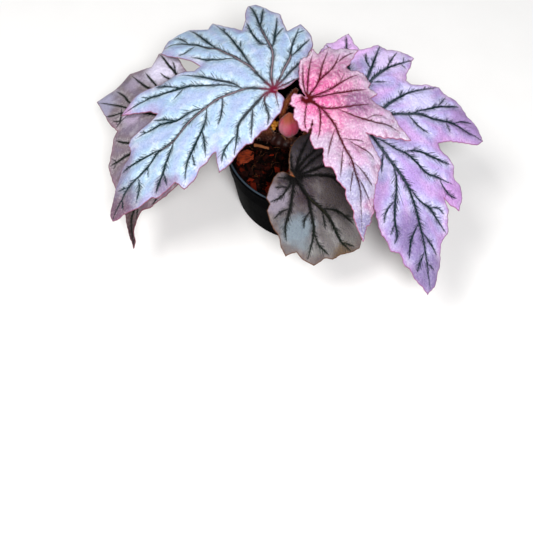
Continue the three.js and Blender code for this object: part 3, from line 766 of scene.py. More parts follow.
# Vein lines in the blade's own plane, the stalk at 0, 0 and x along the longest lobe. Those that
# start elsewhere branch off the nearest vein before them.
VEINS = {
    "blade_silver": [
        [(0, 0), (8, -8), (15, -14), (29, -19), (43, -21), (58, -21), (74, -17), (87, -19),
         (100, -16), (117, -16), (128, -12), (139, -7)],
        [(14, -15), (24, -27), (37, -40), (47, -49), (62, -59), (68, -64), (80, -69), (91, -74)],
        [(0, 0), (1, -18), (1, -29), (3, -39), (7, -59), (13, -74), (17, -87), (25, -102),
         (35, -105)],
        [(1, -14), (0, -30), (-3, -48), (-6, -69), (-10, -102)],
        [(0, 0), (-6, -12), (-19, -30), (-27, -57), (-37, -84), (-41, -99)],
        [(0, 0), (-15, -10), (-26, -18), (-31, -24), (-50, -42)], [(0, 0), (-18, -6), (-37, -13)],
        [(0, 0), (-11, 1), (-20, 1)],
        [(0, 0), (7, -1), (17, 2), (29, 5), (35, 8), (42, 16), (49, 23)],
        [(0, 0), (9, 2), (14, 14), (19, 20)], [(0, 0), (1, 4), (6, 15)],
        [(43, -21), (52, -10), (67, -1), (78, 6), (87, 17)],
        [(74, -17), (85, -9), (93, -3), (102, 3), (106, 7)],
        [(43, -21), (54, -27), (64, -29), (75, -37), (83, -40), (95, -46)],
        [(83, -17), (93, -23), (106, -29), (116, -31)],
        [(14, -16), (20, -26), (30, -42), (43, -63)], [(6, -42), (16, -53), (21, -60), (27, -73)],
        [(8, -62), (8, -82), (6, -116)], [(-20, -32), (-29, -42), (-46, -65)],
        [(-26, -18), (-37, -22), (-51, -28)], [(47, -49), (55, -62), (61, -69)],
        [(47, -46), (58, -46)], [(68, -64), (73, -72)], [(18, -90), (18, -108), (22, -114)],
        [(18, -82), (27, -81), (32, -84)], [(-4, -49), (-10, -59)], [(-7, -78), (-11, -88)],
        [(-29, -60), (-46, -85)], [(-29, -41), (-42, -49)], [(-18, -41), (-19, -57), (-25, -77)],
        [(-46, -35), (-53, -38)], [(56, -8), (59, 0), (66, 13)], [(70, 2), (75, 13)],
        [(31, -16), (38, -9), (47, -1)], [(93, -3), (97, 9)], [(99, -18), (104, -8)],
        [(108, -15), (113, -7), (121, 0)], [(117, -16), (126, -22)], [(125, -11), (130, -4)],
        [(64, -29), (77, -46)], [(85, -40), (89, -47)], [(42, 10), (52, 16), (60, 23)],
        [(53, 17), (55, 23)], [(19, 3), (25, 10), (34, 22)],
    ],
    "blade_young": [
        [(0, 0), (8, 6), (23, 10), (33, 10), (43, 11), (48, 12), (59, 11), (69, 10), (78, 7),
         (98, 0)],
        [(0, 0), (-10, 5), (-21, 11), (-37, 22)], [(0, 0), (-13, 3), (-31, 11)],
        [(0, 0), (-10, 13), (-21, 21), (-35, 33)], [(0, 0), (-2, 18), (-5, 30), (-8, 45)],
        [(0, 0), (3, 29), (5, 45)], [(0, 0), (7, 5), (13, 15), (15, 33), (16, 42)],
        [(0, 0), (9, 5), (22, 0), (31, -6)], [(0, 0), (15, -8), (22, -9)], [(0, 0), (-4, -7)],
        [(0, 0), (0, -10)], [(-5, 7), (-11, 15), (-18, 28), (-31, 41)],
        [(-19, 30), (-24, 40), (-27, 51)], [(-25, 44), (-29, 47)], [(-7, 25), (-12, 35)],
        [(2, 35), (-1, 39)], [(13, 15), (20, 23), (29, 36), (34, 46), (44, 56)],
        [(25, 33), (25, 40), (27, 48)], [(34, 46), (35, 53)], [(33, 11), (37, 20), (41, 27)],
        [(37, 14), (43, 21), (49, 26), (55, 28)], [(49, 12), (58, 16), (67, 19), (70, 20)],
        [(59, 12), (68, 13), (81, 14)], [(54, 10), (61, 7), (72, 1)], [(38, 9), (50, 4), (59, -1)],
        [(25, 7), (35, 2), (44, -4)],
    ],
    "blade_mauve": [
        [(0, 0), (22, 4), (36, 7), (47, 10), (61, 13), (75, 13), (92, 11), (108, 8), (130, 3)],
        [(0, 0), (-20, 22), (-31, 33), (-45, 47)],
        [(0, 0), (-17, 23), (-23, 39), (-24, 45), (-25, 64)],
        [(0, 0), (6, 18), (4, 27), (2, 36), (0, 50), (1, 70)],
        [(0, 0), (11, 22), (16, 37), (18, 44), (25, 55), (32, 67), (40, 74), (49, 84)],
        [(0, 0), (-23, 10), (-46, 20), (-66, 31)], [(0, 0), (-34, 8), (-63, 13)],
        [(0, 0), (-14, -5), (-26, -10)], [(0, 0), (21, -9), (37, -16), (52, -21)],
        [(0, 0), (8, -12), (14, -22)], [(16, 37), (16, 56), (18, 73), (20, 81)],
        [(22, 4), (36, 16), (44, 23), (59, 30), (65, 37), (74, 48)],
        [(61, 13), (75, 18), (83, 23), (92, 26), (102, 29)],
        [(45, 9), (57, 7), (78, -4), (91, -8), (96, -13)], [(-28, 26), (-36, 30), (-44, 35)],
        [(-23, 39), (-29, 47), (-36, 57)], [(-25, 55), (-30, 59)], [(-22, 52), (-18, 55)],
        [(-15, 23), (-12, 35)], [(2, 36), (-4, 44)], [(1, 58), (-2, 63)], [(15, 62), (9, 75)],
        [(32, 67), (32, 76), (35, 84)], [(29, 62), (26, 67)], [(32, 60), (39, 61)],
        [(17, 36), (26, 39), (36, 45)], [(39, 20), (44, 31), (55, 44), (60, 50)],
        [(67, 36), (77, 40), (83, 46)], [(68, 1), (74, -9), (81, -14)], [(82, -6), (90, -13)],
        [(35, 7), (50, -2)], [(80, 23), (84, 29), (90, 32)], [(87, 10), (97, 1), (109, -6)],
        [(93, 10), (103, 14), (113, 16)], [(105, 6), (114, 0), (118, -3)], [(114, 7), (121, 11)],
    ],
    "blade_old": [
        [(0, 0), (16, 1), (30, 6), (39, 8), (54, 8), (64, 12)],
        [(0, 0), (5, -9), (8, -17), (7, -25)], [(0, 0), (13, -10), (19, -15), (27, -23), (36, -27)],
        [(0, 0), (16, 1), (26, -2), (40, -7), (54, -19)], [(0, 0), (7, 17), (16, 31), (26, 42)],
        [(0, 0), (-5, 18), (-7, 32)], [(0, 0), (2, 20), (4, 42)], [(0, 0), (-7, 11), (-13, 33)],
        [(0, 0), (-11, 11), (-23, 28)], [(0, 0), (-9, 3), (-19, 9)], [(0, 0), (-3, -7), (-6, -12)],
        [(4, -8), (-1, -17)], [(17, -15), (17, -21), (19, -29)], [(28, 7), (36, 17), (50, 24)],
        [(55, 11), (63, 17)], [(40, -7), (50, -8), (60, -4)], [(26, -2), (30, -9), (36, -13)],
        [(12, 25), (22, 28)], [(30, 4), (44, 1)],
    ],
    "blade_low": [
        [(0, 0), (28, -4), (57, -14), (81, -19), (98, -10)],
        [(0, 0), (4, -22), (13, -45), (15, -77), (16, -107)],
        [(0, 0), (-2, -30), (-6, -62), (-9, -75), (-13, -88)],
        [(0, 0), (24, -17), (46, -42), (54, -49), (59, -54)],
        [(0, 0), (-9, -16), (-25, -48), (-31, -62), (-36, -72), (-39, -79)],
        [(0, 0), (-10, -6), (-20, -13)], [(0, 0), (8, 7), (13, 13)], [(0, 0), (-6, 7), (-11, 13)],
        [(13, -45), (10, -69), (6, -80), (3, -95)], [(14, -60), (24, -78), (26, -86)],
        [(-4, -40), (-11, -59), (-15, -69), (-19, -78)], [(30, -22), (39, -48), (41, -61)],
        [(18, -60), (28, -66), (33, -66)], [(54, -49), (54, -56)], [(54, -49), (62, -50)],
        [(45, -10), (58, -26), (68, -40)], [(62, -15), (72, -24), (80, -29)],
        [(30, -4), (42, 2), (50, 3)], [(50, -12), (62, -6), (70, -8)], [(72, -17), (84, -14)],
        [(-25, -48), (-31, -55), (-36, -62)], [(-20, -38), (-19, -52), (-22, -64)],
        [(12, -75), (26, -67), (28, -77)],
    ],
}
# How the blades look. A row holds one value for each of the silver, young, mauve, old and low
# blades, and a colour is told by where it shows.
LOOK_ROWS = dict(
    band=(1.5, 1.0, 1.45, 1.7, 1.4),  # half the width of the main bands
    barbs=(2.0, 1.2, 2.0, 2.2, 0.8),  # how far their barbs reach
    core_width=(0.24, 0, 0.15, 0.12, 0),  # a pale core's share of them
    quilt=(1.5, 2.2, 1.6, 0.8, 0.9),  # how far the pads swell
    pucker=(0.2, 1.0, 0.25, 0.15, 0.15),  # how deep the puckers are
    teeth=(0.5, 1.3, 0.8, 0.5, 0.5),  # how far the teeth stand out
    near=("#a5c3db", "#c76a94", "#ada6d8", "#4c4244", "#74656c"),  # by the stalk
    far=("#acc4e8", "#b9abc8", "#b091cc", "#706e6a", "#7b7080"),  # far from it
    cloud=("#b3b2dc", "#c587b2", "#c792cc", "#685e61", "#867b92"),  # in clouds
    between=("#a9b4dc", "#c9a0bd", "#c596d0", "#706a68", "#81758a"),  # between the veins
    rim=("#a695c0", "#cbb4cc", "#c290c6", "#6c5a56", "#8e6f80"),  # along the margin
    rim_width=(7, 6, 7, 5, 6),  # how far in that reaches
    edge=("#8d5670", "#a4607f", "#96608a", "#5d3b22", "#7c4450"),  # at the very edge
    heart=("#6f1430", "#4c0308", "#5d1f3c", "#020101", "#4f1f2c"),  # round the stalk
    heart_size=(4, 6, 4, 9, 4),  # how far out that reaches
    flush=("#a5c3db", "#da4e94", "#ada6d8", "#260f15", "#74656c"),  # in a ragged patch
    flush_to=(1, 36, 1, 20, 1),  # how far out that reaches, or 1 for nearly the whole blade
    shoulder_highlight=(0.5, 0.15, 0.4, 0.1, 0.25),  # how white the painted highlight along the bands is
    hollow_shade=("#8c9fd0", "#9c4472", "#9a7cc0", "#453f3f", "#6a5c68"),  # painted shade in the hollows
    hollow_shade_share=(0.4, 0.5, 0.4, 0.4, 0.4),  # how strongly that painted shade shows
    crest_highlight_share=(0.35, 0.3, 0.3, 0.12, 0.25),  # how white the painted highlight on the crests is
    crinkle_glint=(0.2, 0.45, 0.15, 0, 0.1),  # how white the painted glints on its crinkles are
    lit=(1.35, 1.5, 1.35, 1.3, 1.35),  # how bright the painted highlights on its blisters are
    band_start=("#6a3444", "#4a0208", "#2c2730", "#020202", "#14130f"),  # the bands by the stalk
    band_near=("#32373c", "#4a0412", "#0c2226", "#030402", "#0d0f0b"),  # then near it
    band_far=("#082225", "#33101c", "#071e22", "#071207", "#0c130b"),  # and far from it
    fade=((18, 60), (30, 70), (20, 60), (20, 60), (20, 60)),  # from where to where they change
    core=("#a0868f", "#470012", "#8c92a6", "#4c4a1c", "#12190f"),  # in their pale core
    under=("#5f3234", "#8f3450", "#7c4256", "#4e2c2a", "#5d3434"),  # the underside
    under_rib=("#9a6062", "#c06a84", "#ab6f80", "#7d514c", "#8a5a57"),  # its ribs and net
)
LOOKS = {
    name: {key: row[i] for key, row in LOOK_ROWS.items()} for i, name in enumerate(BLADES)
}
# Raised creases, as lines in the blade's own plane, each with a painted highlight along it.
FOLDS = {
    "blade_silver": [
        [(-24, -76), (-20, -60), (-18, -45), (-18, -35)], [(-37, -40), (-35, -31), (-33, -27)],
    ],
}
# Patches, each with its middle, radius and colour: some are the leaf's own tints, others are
# painted shade and painted light.
TINTS_AND_PAINTED_LIGHT = {
    # The silver blade's dark patch round its tip is painted shade where the tip bends away from the
    # light.
    "blade_silver": [
        ((136, -10), 28, "#643040"), ((91, -75), 18, "#c08fbe"), ((99, 8), 13, "#83708c"),
        ((112, -36), 14, "#857a94"), ((52, -68), 10, "#93a2b8"), ((94, -55), 9, "#6c6470"),
    ],
    "blade_young": [
        ((8, -14), 14, "#cfa3c2"), ((36, -4), 16, "#b8a2ba"), ((66, 4), 20, "#9e9aba"),
        ((92, 2), 16, "#827da4"), ((14, 34), 14, "#905f86"),
    ],
    # On the mauve blade the palest patch, behind the stalk, is painted light.
    "blade_mauve": [
        ((34, 76), 20, "#a280b8"), ((-54, 27), 24, "#f2c2fc"), ((122, 4), 20, "#7c6a96"),
        ((94, 2), 24, "#7f6a9c"), ((58, 18), 13, "#a98bca"), ((76, 42), 14, "#b684c2"),
        ((-28, 46), 16, "#e0ccf4"), ((5, 50), 16, "#d2cef6"),
    ],
    # On the old blade the dark patches round and beyond its stalk are painted shade from the young
    # blade above.
    "blade_old": [
        ((-20, 26), 38, "#2a2526"), ((24, 22), 24, "#3c3431"), ((34, -17), 16, "#78868f"),
        ((66, 6), 14, "#5e4a30"), ((8, -20), 13, "#8b828f"), ((18, -3), 12, "#36292b"),
    ],
    # On the low blade the near-white patch on its upper lobe is painted light, and the dark patches
    # at its tip are painted shade.
    "blade_low": [
        ((-28, -63), 24, "#eae4fc"), ((20, -98), 22, "#a6a4c0"), ((88, -17), 22, "#4a302c"),
        ((-8, -80), 12, "#ab9eb4"), ((103, -10), 24, "#240203"), ((19, -59), 12, "#b3a2bc"),
    ],
}


def blade_height(blade, x, y):
    """How far the bare sheet lies over its seat: arched down all round, in slow waves."""
    tip, base, left, right = blade["arch"]
    height, count, phase = blade["wave"]
    droop = x * x / (2 * np.where(x > 0, tip, base)) + y * y / (2 * np.where(y > 0, left, right))
    turn = count * np.arctan2(y, x) + math.radians(phase)
    return height * ((x * x + y * y) / 1e4) * np.sin(turn) - droop


def cad_margin(name):
    """The corners of the solid blade's upper outline in order, in its own plane."""
    blade = BLADES[name]
    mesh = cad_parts[name].data
    spots = np.array([vertex.co for vertex in mesh.vertices]) / MM - blade["seat"]
    spots = spots @ blade_axes(blade).T
    on_top = np.abs(spots[:, 2] - blade_height(blade, spots[:, 0], spots[:, 1])) < 0.05
    keys = [(round(float(x), 1), round(float(y), 1)) for x, y, _ in spots]
    corners = dict(zip(keys, spots[:, :2]))
    mesh.calc_loop_triangles()
    steps = set()
    for triangle in mesh.loop_triangles:
        if all(on_top[i] for i in triangle.vertices):
            a, b, c = (keys[i] for i in triangle.vertices)
            steps |= {(a, b), (b, c), (c, a)}
    onward = {a: b for a, b in steps if (b, a) not in steps}
    start = min(onward)
    outline, at = [start], onward[start]
    while at != start:
        outline.append(at)
        at = onward[at]
    return np.array([corners[key] for key in outline])


def grown_margin(corners, reach):
    """The outline in fine steps: curved between its tips and notches, with small teeth."""
    before, after = np.roll(corners, 1, axis=0), np.roll(corners, -1, axis=0)
    into, out = corners - before, after - corners
    turn = np.arctan2(into[:, 0] * out[:, 1] - into[:, 1] * out[:, 0], (into * out).sum(1))
    sharp = np.abs(turn) > math.radians(SHARP_TURN)
    line = []
    for i, (b, c) in enumerate(zip(corners, after)):
        onto = (i + 1) % len(corners)
        a = 2 * b - c if sharp[i] else before[i]
        d = 2 * c - b if sharp[onto] else after[onto]
        length = np.linalg.norm(c - b)
        m = (c - a) * length / (length + np.linalg.norm(b - a))
        n = (d - b) * length / (np.linalg.norm(d - c) + length)
        for t in np.arange(0, 1, 1 / max(1, round(length / (MESH_STEP * 0.9)))):
            line.append((2 * t ** 3 - 3 * t * t + 1) * b + (t ** 3 - 2 * t * t + t) * m
                        + (3 * t * t - 2 * t ** 3) * c + (t ** 3 - t * t) * n)
    line = np.array(line)
    way = np.roll(line, -1, axis=0) - np.roll(line, 1, axis=0)
    outward = np.column_stack([way[:, 1], -way[:, 0]]) / np.linalg.norm(way, axis=1)[:, None]
    teeth = 0.58 * lumps(*line.T, TOOTH_SIZE, 8) + 0.42 * lumps(*line.T, SMALL_TOOTH_SIZE, 9)
    return line + outward * reach * teeth[:, None]


def traced_veins(name):
    """Each vein in fine steps: x, y, direction, distance along, half width of band, of core."""
    look, traced = LOOKS[name], []
    for points in VEINS[name]:
        along, main = 0, points[0] == (0, 0)
        if not main:
            steps = np.vstack(traced)
            gaps = np.hypot(*(steps[:, :2] - points[0]).T)
            parent = steps[np.argmin(gaps)]
            points = [tuple(parent[:2])] + points[1 if min(gaps) < BRANCH_REACH else 0:]
            along = parent[4]
        length = sum(math.dist(a, b) for a, b in zip(points, points[1:]))
        line = through(points, np.linspace(0, 1, max(8, int(length / VEIN_STEP))))
        ways = np.gradient(line, axis=0)
        ways /= np.linalg.norm(ways, axis=1)[:, None]
        shares = np.linspace(0, 1, len(line))
        full = FULL_MAIN_VEIN if main else FULL_SIDE_VEIN
        swell = [0.85, 0.85, 1, 0.7, 0.25] if main else [0.15, 0.5, 0.85, 0.6, 0.12]
        halves = look["band"] * min(1, (length / full) ** 0.5)
        halves = halves * np.interp(shares, [0, 0.12, 0.45, 0.78, 1], swell)
        cores = halves * np.interp(shares, [0, 0.12, 0.2, 0.6, 0.75], [0, 0, 1, 0.7, 0])
        cores = look["core_width"] * cores if main and length > FULL_MAIN_VEIN else 0 * cores
        traced.append(np.column_stack([line, ways, along + shares * length, halves, cores]))
    return traced


def tinged(finish, share, strength, base, tint):
    """Where the share is 1, the base colour goes this part of the way to the tint."""
    over = tint if strength == 1 else finish.blend(strength, base, tint)
    return finish.blend(share, base, over)


def skin_ground(upper, name, plane, cloud, fine):
    """The colour of the upper skin without its bands, and its blisters."""
    look, rise, times, scaled = LOOKS[name], upper.rise, upper.times, upper.scaled
    gap, half, rim, heart, swell, fold = (
        upper.read(field) for field in ("vein_gap", "vein_half", "rim", "heart", "swell", "fold")
    )
    ragged_heart = upper.plus(heart, scaled(upper.grain(plane, 6, 3), -14, 14))
    ragged_rim = upper.plus(rim, scaled(cloud, -5, 5))
    # Painted highlight on the shoulders beside the bands.
    shoulder_highlight = times(rise(upper.less(gap, half), 3.6, 0.6), rise(fine, 0.35, 0.65))
    # Painted glints on the crinkles.
    crinkle_glints = rise(upper.grain(plane, CRINKLE_GLINT_SIZE, 5, 0.65), 0.48, 0.66)
    patches = []
    for (x, y), radius, tint in TINTS_AND_PAINTED_LIGHT[name]:
        away = upper.add("VectorMath", {"operation": "DISTANCE"}, Vector=plane)
        upper.set(away, {1: (x, y, 0)})
        away = upper.plus(away.outputs["Value"], scaled(cloud, -9, 9))
        share = times(rise(away, radius, radius * PATCH_CORE), PATCH_STRENGTH)
        patches.append((share, 1, tint))

    # The colours that lie over the one by the stalk, each with where it shows and how far the
    # skin goes to it there: far out, clouds, flush, between the veins, rim, painted shade in the
    # hollows, painted highlights on the crests and on the shoulders along the veins, patches of
    # tint, painted shade and painted light, painted glints on the crinkles, painted highlights
    # along the creases, and flecks.
    layers = [
        (rise(heart, 12, 70), 1, look["far"]),
        (times(rise(cloud, 0.45, 0.7), 0.5), 1, look["cloud"]),
        (rise(ragged_heart, look["flush_to"], 2), 1, look["flush"]),
        (rise(gap, 2.5, 9), 0.75, look["between"]),
        (times(rise(ragged_rim, look["rim_width"], 0), 0.7), 1, look["rim"]),
        # Painted shade in the hollows, then painted highlights on the crests and shoulders.
        (times(rise(swell, 0, -0.8), look["hollow_shade_share"]), 1, look["hollow_shade"]),
        (times(rise(swell, 0.1, 0.9), look["crest_highlight_share"]), 0.6, WHITE),
        (times(shoulder_highlight, look["shoulder_highlight"]), 0.7, WHITE),
        *patches,
        # Painted glints on the crinkles, then painted highlights along the creases.
        (times(crinkle_glints, look["crinkle_glint"]), 0.65, WHITE),
        (times(rise(fold, 0.9, 0.1), 0.7), 1, "#dfe6fa"),
        (rise(fine, 0.52, 0.34), 0.26, "#39406a"),
    ]
    ground = look["near"]
    for share, strength, tint in layers:
        ground = tinged(upper, share, strength, ground, tint)

    # Painted highlights make its tiny blisters brighter on top.
    lit = upper.add("HueSaturation", Color=ground, Value=look["lit"]).outputs["Color"]
    blisters = upper.cells(plane, BLISTER_SIZE)
    return upper.blend(rise(blisters, 0.4, 0.05), ground, lit), blisters


def upper_skin(name):
    """The side of a blade that is seen: its ground colour, bands, pale cores, heart and edge."""
    look = LOOKS[name]
    upper = Finish(name + "_upper", Specular_IOR_Level=0.12)
    plane = upper.add("Attribute", {"attribute_name": "plane"}).outputs["Vector"]
    cloud = upper.grain(plane, CLOUD_SIZE, 3, 0.55)
    fine = upper.grain(plane, FLECK_SIZE, 4, 0.7)
    ground, blisters = skin_ground(upper, name, plane, cloud, fine)
    gap, half, along, core, rim, heart = (upper.read(field) for field in (
        "vein_gap", "vein_half", "vein_along", "vein_core", "rim", "heart",
    ))

    # The bands: dark along each vein, frayed, with short barbs that lean towards the margin.
    slant = upper.less(along, upper.times(gap, BARB_SLANT))
    comb = upper.add("TexNoise", {"noise_dimensions": "1D"}, W=slant, Scale=BARBS_PER_MM, Detail=2)
    bushy = upper.add("TexNoise", {"noise_dimensions": "1D"}, W=along, Scale=BRUSHES_PER_MM)
    bushy = upper.rise(bushy.outputs["Fac"], 0.3, 0.7)
    barb = upper.worked("MAXIMUM", upper.less(comb.outputs["Fac"], 0.43), 0)
    barb = upper.times(barb, upper.scaled(bushy, 2, look["barbs"] * 9))
    barb = upper.times(barb, upper.rise(half, 0.1, 1))
    worn = upper.scaled(upper.grain(plane, 0.65, 3, 0.65), -1.25, 0.85)
    reach = upper.plus(upper.plus(upper.times(half, 0.78), barb), worn)
    band = upper.times(upper.rise(upper.less(reach, gap), -0.12, 0.18), upper.rise(half, 0.1, 0.4))
    dark = upper.blend(upper.rise(heart, *look["fade"]), look["band_near"], look["band_far"])
    dark = upper.blend(upper.rise(heart, 13, 5), dark, look["band_start"])
    dark = tinged(upper, upper.rise(fine, 0.55, 0.8), 0.3, dark, ground)
    skin_colour = upper.blend(band, ground, dark)

    in_core = upper.times(upper.rise(upper.less(core, gap), -0.12, 0.12),
                          upper.rise(core, 0.1, 0.3))
    in_core = upper.times(in_core, upper.rise(fine, 0.36, 0.5))
    skin_colour = upper.blend(in_core, skin_colour, look["core"])
    in_heart = upper.plus(heart, upper.scaled(fine, -1.5, 1.5))
    in_heart = upper.rise(in_heart, look["heart_size"], look["heart_size"] * 0.5)
    skin_colour = upper.blend(in_heart, skin_colour, look["heart"])
    skin_colour = upper.blend(upper.rise(rim, 0.7, 0.2), skin_colour, look["edge"])
    upper.wear(Base_Color=skin_colour, Roughness=upper.scaled(fine, 0.45, 0.7))
    upper.bump((upper.grain(plane, 4, 4, 0.6), 1.2), (blisters, 0.25), (fine, 0.3))
    return upper.material


def under_skin(name):
    """The side of a blade that faces the mix: maroon, with paler ribs and a fine net."""
    look = LOOKS[name]
    under = Finish(name + "_under", Specular_IOR_Level=0.35)
    plane = under.add("Attribute", {"attribute_name": "plane"}).outputs["Vector"]
    cloud = under.grain(plane, 7, 5, 0.6)
    body = under.blend(0.4, look["under"], "#2d1618")
    body = under.blend(under.rise(cloud, 0.35, 0.7), body, look["under"])
    rib = under.less(under.times(under.read("vein_half"), 0.5), under.read("vein_gap"))
    net = under.cells(plane, NET_SIZE, "DISTANCE_TO_EDGE")
    body = under.blend(under.rise(net, 0.09, 0.02), body, look["under_rib"])
    under.wear(
        Base_Color=under.blend(under.rise(rib, -0.3, 0.3), body, look["under_rib"]),
        Roughness=under.scaled(cloud, 0.5, 0.8),
    )
    under.bump((under.rise(net, 0.12, 0.0), 0.25), (under.grain(plane, 0.7, 3), 0.15))
    return under.material


def nearest(points):
    """A tree that finds the nearest of the points."""
    tree = kdtree.KDTree(len(points))
    for i, (x, y) in enumerate(points):
        tree.insert((x, y, 0), i)
    tree.balance()
    return tree


def flat_sheet(margin, margin_tree, steps):
    """The blade laid flat: points on its veins, then an even net that keeps off them."""
    low, high = margin.min(0), margin.max(0)
    net = []
    for i, row in enumerate(np.arange(low[1], high[1], MESH_STEP * 0.866)):
        columns = np.arange(low[0] + (i % 2) * MESH_STEP / 2, high[0], MESH_STEP)
        net.append(np.column_stack([columns, np.full(len(columns), row)]))
    on_veins = steps[::2, :2]
    candidates = np.vstack([on_veins, np.vstack(net) + 0.01])
    inside = np.zeros(len(candidates), bool)
    px, py = candidates[:, 0], candidates[:, 1]
    for (ax, ay), (bx, by) in zip(margin, np.roll(margin, -1, axis=0)):
        crosses = (ay > py) != (by > py)
        if ay != by:
            inside ^= crosses & (px < (bx - ax) * (py - ay) / (by - ay) + ax)
    candidates, from_vein = candidates[inside], np.flatnonzero(inside) < len(on_veins)

    vein_tree = nearest(steps[:, :2])
    kept, last = [], np.array([1e9, 1e9])
    for spot, on_vein in zip(candidates, from_vein):
        flat = (spot[0], spot[1], 0)
        if margin_tree.find(flat)[2] < MESH_STEP * 0.6:
            continue
        if on_vein:
            if np.linalg.norm(spot - last) < MESH_STEP * 0.6:
                continue
            last = spot
        elif vein_tree.find(flat)[2] < MESH_STEP * 0.55:
            continue
        kept.append(spot)
    loop = list(range(len(margin)))
    sheet = delaunay_2d_cdt([Vector(p) for p in np.vstack([margin, kept])], [], [loop], 1, 1e-5)
    return np.array([tuple(p) for p in sheet[0]]), [tuple(face) for face in sheet[2]]


def make_blade(name, piece_name, slot):
    """A thin sheet with two skins that takes the place of the solid blade."""
    blade, look = BLADES[name], LOOKS[name]
    margin = grown_margin(cad_margin(name), look["teeth"])
    margin_tree = nearest(margin)
    veins = traced_veins(name)
    flat, faces = flat_sheet(margin, margin_tree, np.vstack(veins))

    # What the finish and the relief read at each point.
    kinds = ("rim", "vein_gap", "vein_half", "vein_core", "vein_along", "fold")
    fields = {key: np.zeros(len(flat)) for key in kinds}
    fields["rim"][:] = [margin_tree.find((spot[0], spot[1], 0))[2] for spot in flat]
    x, y = flat.T
    least = np.full(len(flat), np.inf)
    for steps in veins:
        nearest_step = np.hypot(x[:, None] - steps[:, 0], y[:, None] - steps[:, 1]).argmin(1)
        step_x, step_y, way_x, way_y, along, half, core = steps[nearest_step].T
        ahead = way_x * (x - step_x) + way_y * (y - step_y)
        side = way_x * (y - step_y) - way_y * (x - step_x)
        gap = np.hypot(side, np.where(abs(ahead) < 0.35, 0, ahead))
        closer = gap - half < least
        least[closer] = (gap - half)[closer]
        along = along + ahead + OTHER_SIDE * (side > 0)
        for key, values in zip(kinds[1:5], (gap, half, core, along)):
            fields[key][closer] = values[closer]
    fields["heart"] = np.hypot(x, y)
    fields["fold"][:] = NO_CREASE
    for points in FOLDS.get(name, []):
        line = through(points, np.linspace(0, 1, 60))
        gaps = np.hypot(x[:, None] - line[:, 0], y[:, None] - line[:, 1]).min(1)
        fields["fold"] = np.minimum(fields["fold"], gaps)
    fields["swell"] = 0.7 * lumps(x, y, 3.2, 11) + 0.5 * lumps(x, y, 6.5, 14)

    # Relief: pads swell between the sunken veins, and the last millimetres of margin roll down.
    gap, half, rim = fields["vein_gap"], fields["vein_half"], fields["rim"]
    fade = np.clip(rim / 7, 0, 1) * np.clip(fields["heart"] / 14, 0.15, 1)
    pads = look["quilt"] * (1 - np.exp(-(gap / PAD_SLOPE) ** 2)) * fade
    pads += look["pucker"] * fields["swell"] * fade * np.clip(gap / 1.5, 0, 1)
    pads += 0.5 * look["quilt"] * lumps(x, y, 9, 12) * fade
    pads += CREASE_HEIGHT * np.exp(-fields["fold"] / CREASE_WIDTH)
    pads -= 0.3 * half * np.exp(-(gap / (0.5 * half + 0.4)) ** 2) * np.clip(rim / 3, 0, 1)
    roll = MARGIN_ROLL * np.clip(1 - rim / 5, 0, 1) ** 2
    frill = MARGIN_FRILL * np.clip(1 - rim / 12, 0, 1) * lumps(x, y, 11, 13)
    top = blade_height(blade, x, y) + pads - roll + frill
    thick = BLADE_EDGE + (BLADE_BODY - BLADE_EDGE) * np.clip(rim / 4, 0, 1)
    ribs = RIB_HEIGHT * half * np.exp(-(gap / (0.35 * half + 0.35)) ** 2) * np.clip(rim / 5, 0, 1)
    bottom = top - thick - ribs * (1 - 0.5 * np.clip(fields["heart"] / 120, 0, 1))

    # The sheet's two skins and the thin wall round its margin.
    count = len(flat)
    edges = set()
    for a, b, c in faces:
        edges |= {(a, b), (b, c), (c, a)}
    wall = [(b, a, a + count, b + count) for a, b in edges if (b, a) not in edges]
    skins = faces + [(c + count, b + count, a + count) for a, b, c in faces] + sorted(wall)
    spots = np.vstack([np.column_stack([x, y, top]), np.column_stack([x, y, bottom])])
    spots = spots @ blade_axes(blade) + blade["seat"]
    finishes = [upper_skin(name), under_skin(name)]
    piece = make_piece(piece_name, spots, skins, finishes, slot, [name], sharp=65)
    under = np.zeros(len(skins), int)
    under[len(faces):] = 1
    piece.data.polygons.foreach_set("material_index", under)
    for key, values in fields.items():
        field = piece.data.attributes.new(key, "FLOAT", "POINT")
        field.data.foreach_set("value", np.tile(values, 2))
    plane = piece.data.attributes.new("plane", "FLOAT_VECTOR", "POINT")
    plane.data.foreach_set("vector", np.tile(np.column_stack([x, y, 0 * x]), (2, 1)).ravel())


make_blade("blade_silver", "silver_leaf", "leaf_silver")
make_blade("blade_young", "young_leaf", "leaf_pink")
make_blade("blade_mauve", "mauve_leaf", "leaf_mauve")
make_blade("blade_old", "old_leaf", "leaf_shaded")
make_blade("blade_low", "low_leaf", "leaf_shaded")

# ---------------------------------------------------------------------------------------------
# The bud. The next young leaf, still folded on itself like a mitten, crimson and downy, with a
# paler orange top where the fold opens. It stands on its own short stalk.

BUD_PROFILE = [
    (0, 0), (2.6, 0), (4.8, 3), (7.2, 7), (8, 11.5), (7.3, 16.5), (5.2, 21), (2.4, 25.5), (0, 28),
]
BUD_FLATNESS = 0.8
BUD_FOLD_BEARING = -1.1
BUD_FOLD_WIDTH = 0.22
BUD_FOLD_DEPTH = 0.16
BUD_PLEAT_DEPTH = 0.025
ORANGE_RISE = (73, 81)  # the heights between which its colour turns orange
DOWN_SPAN = (2, 23)
DOWN_PER_MM = 12
DOWN_LENGTHS = (0.4, 1.1)

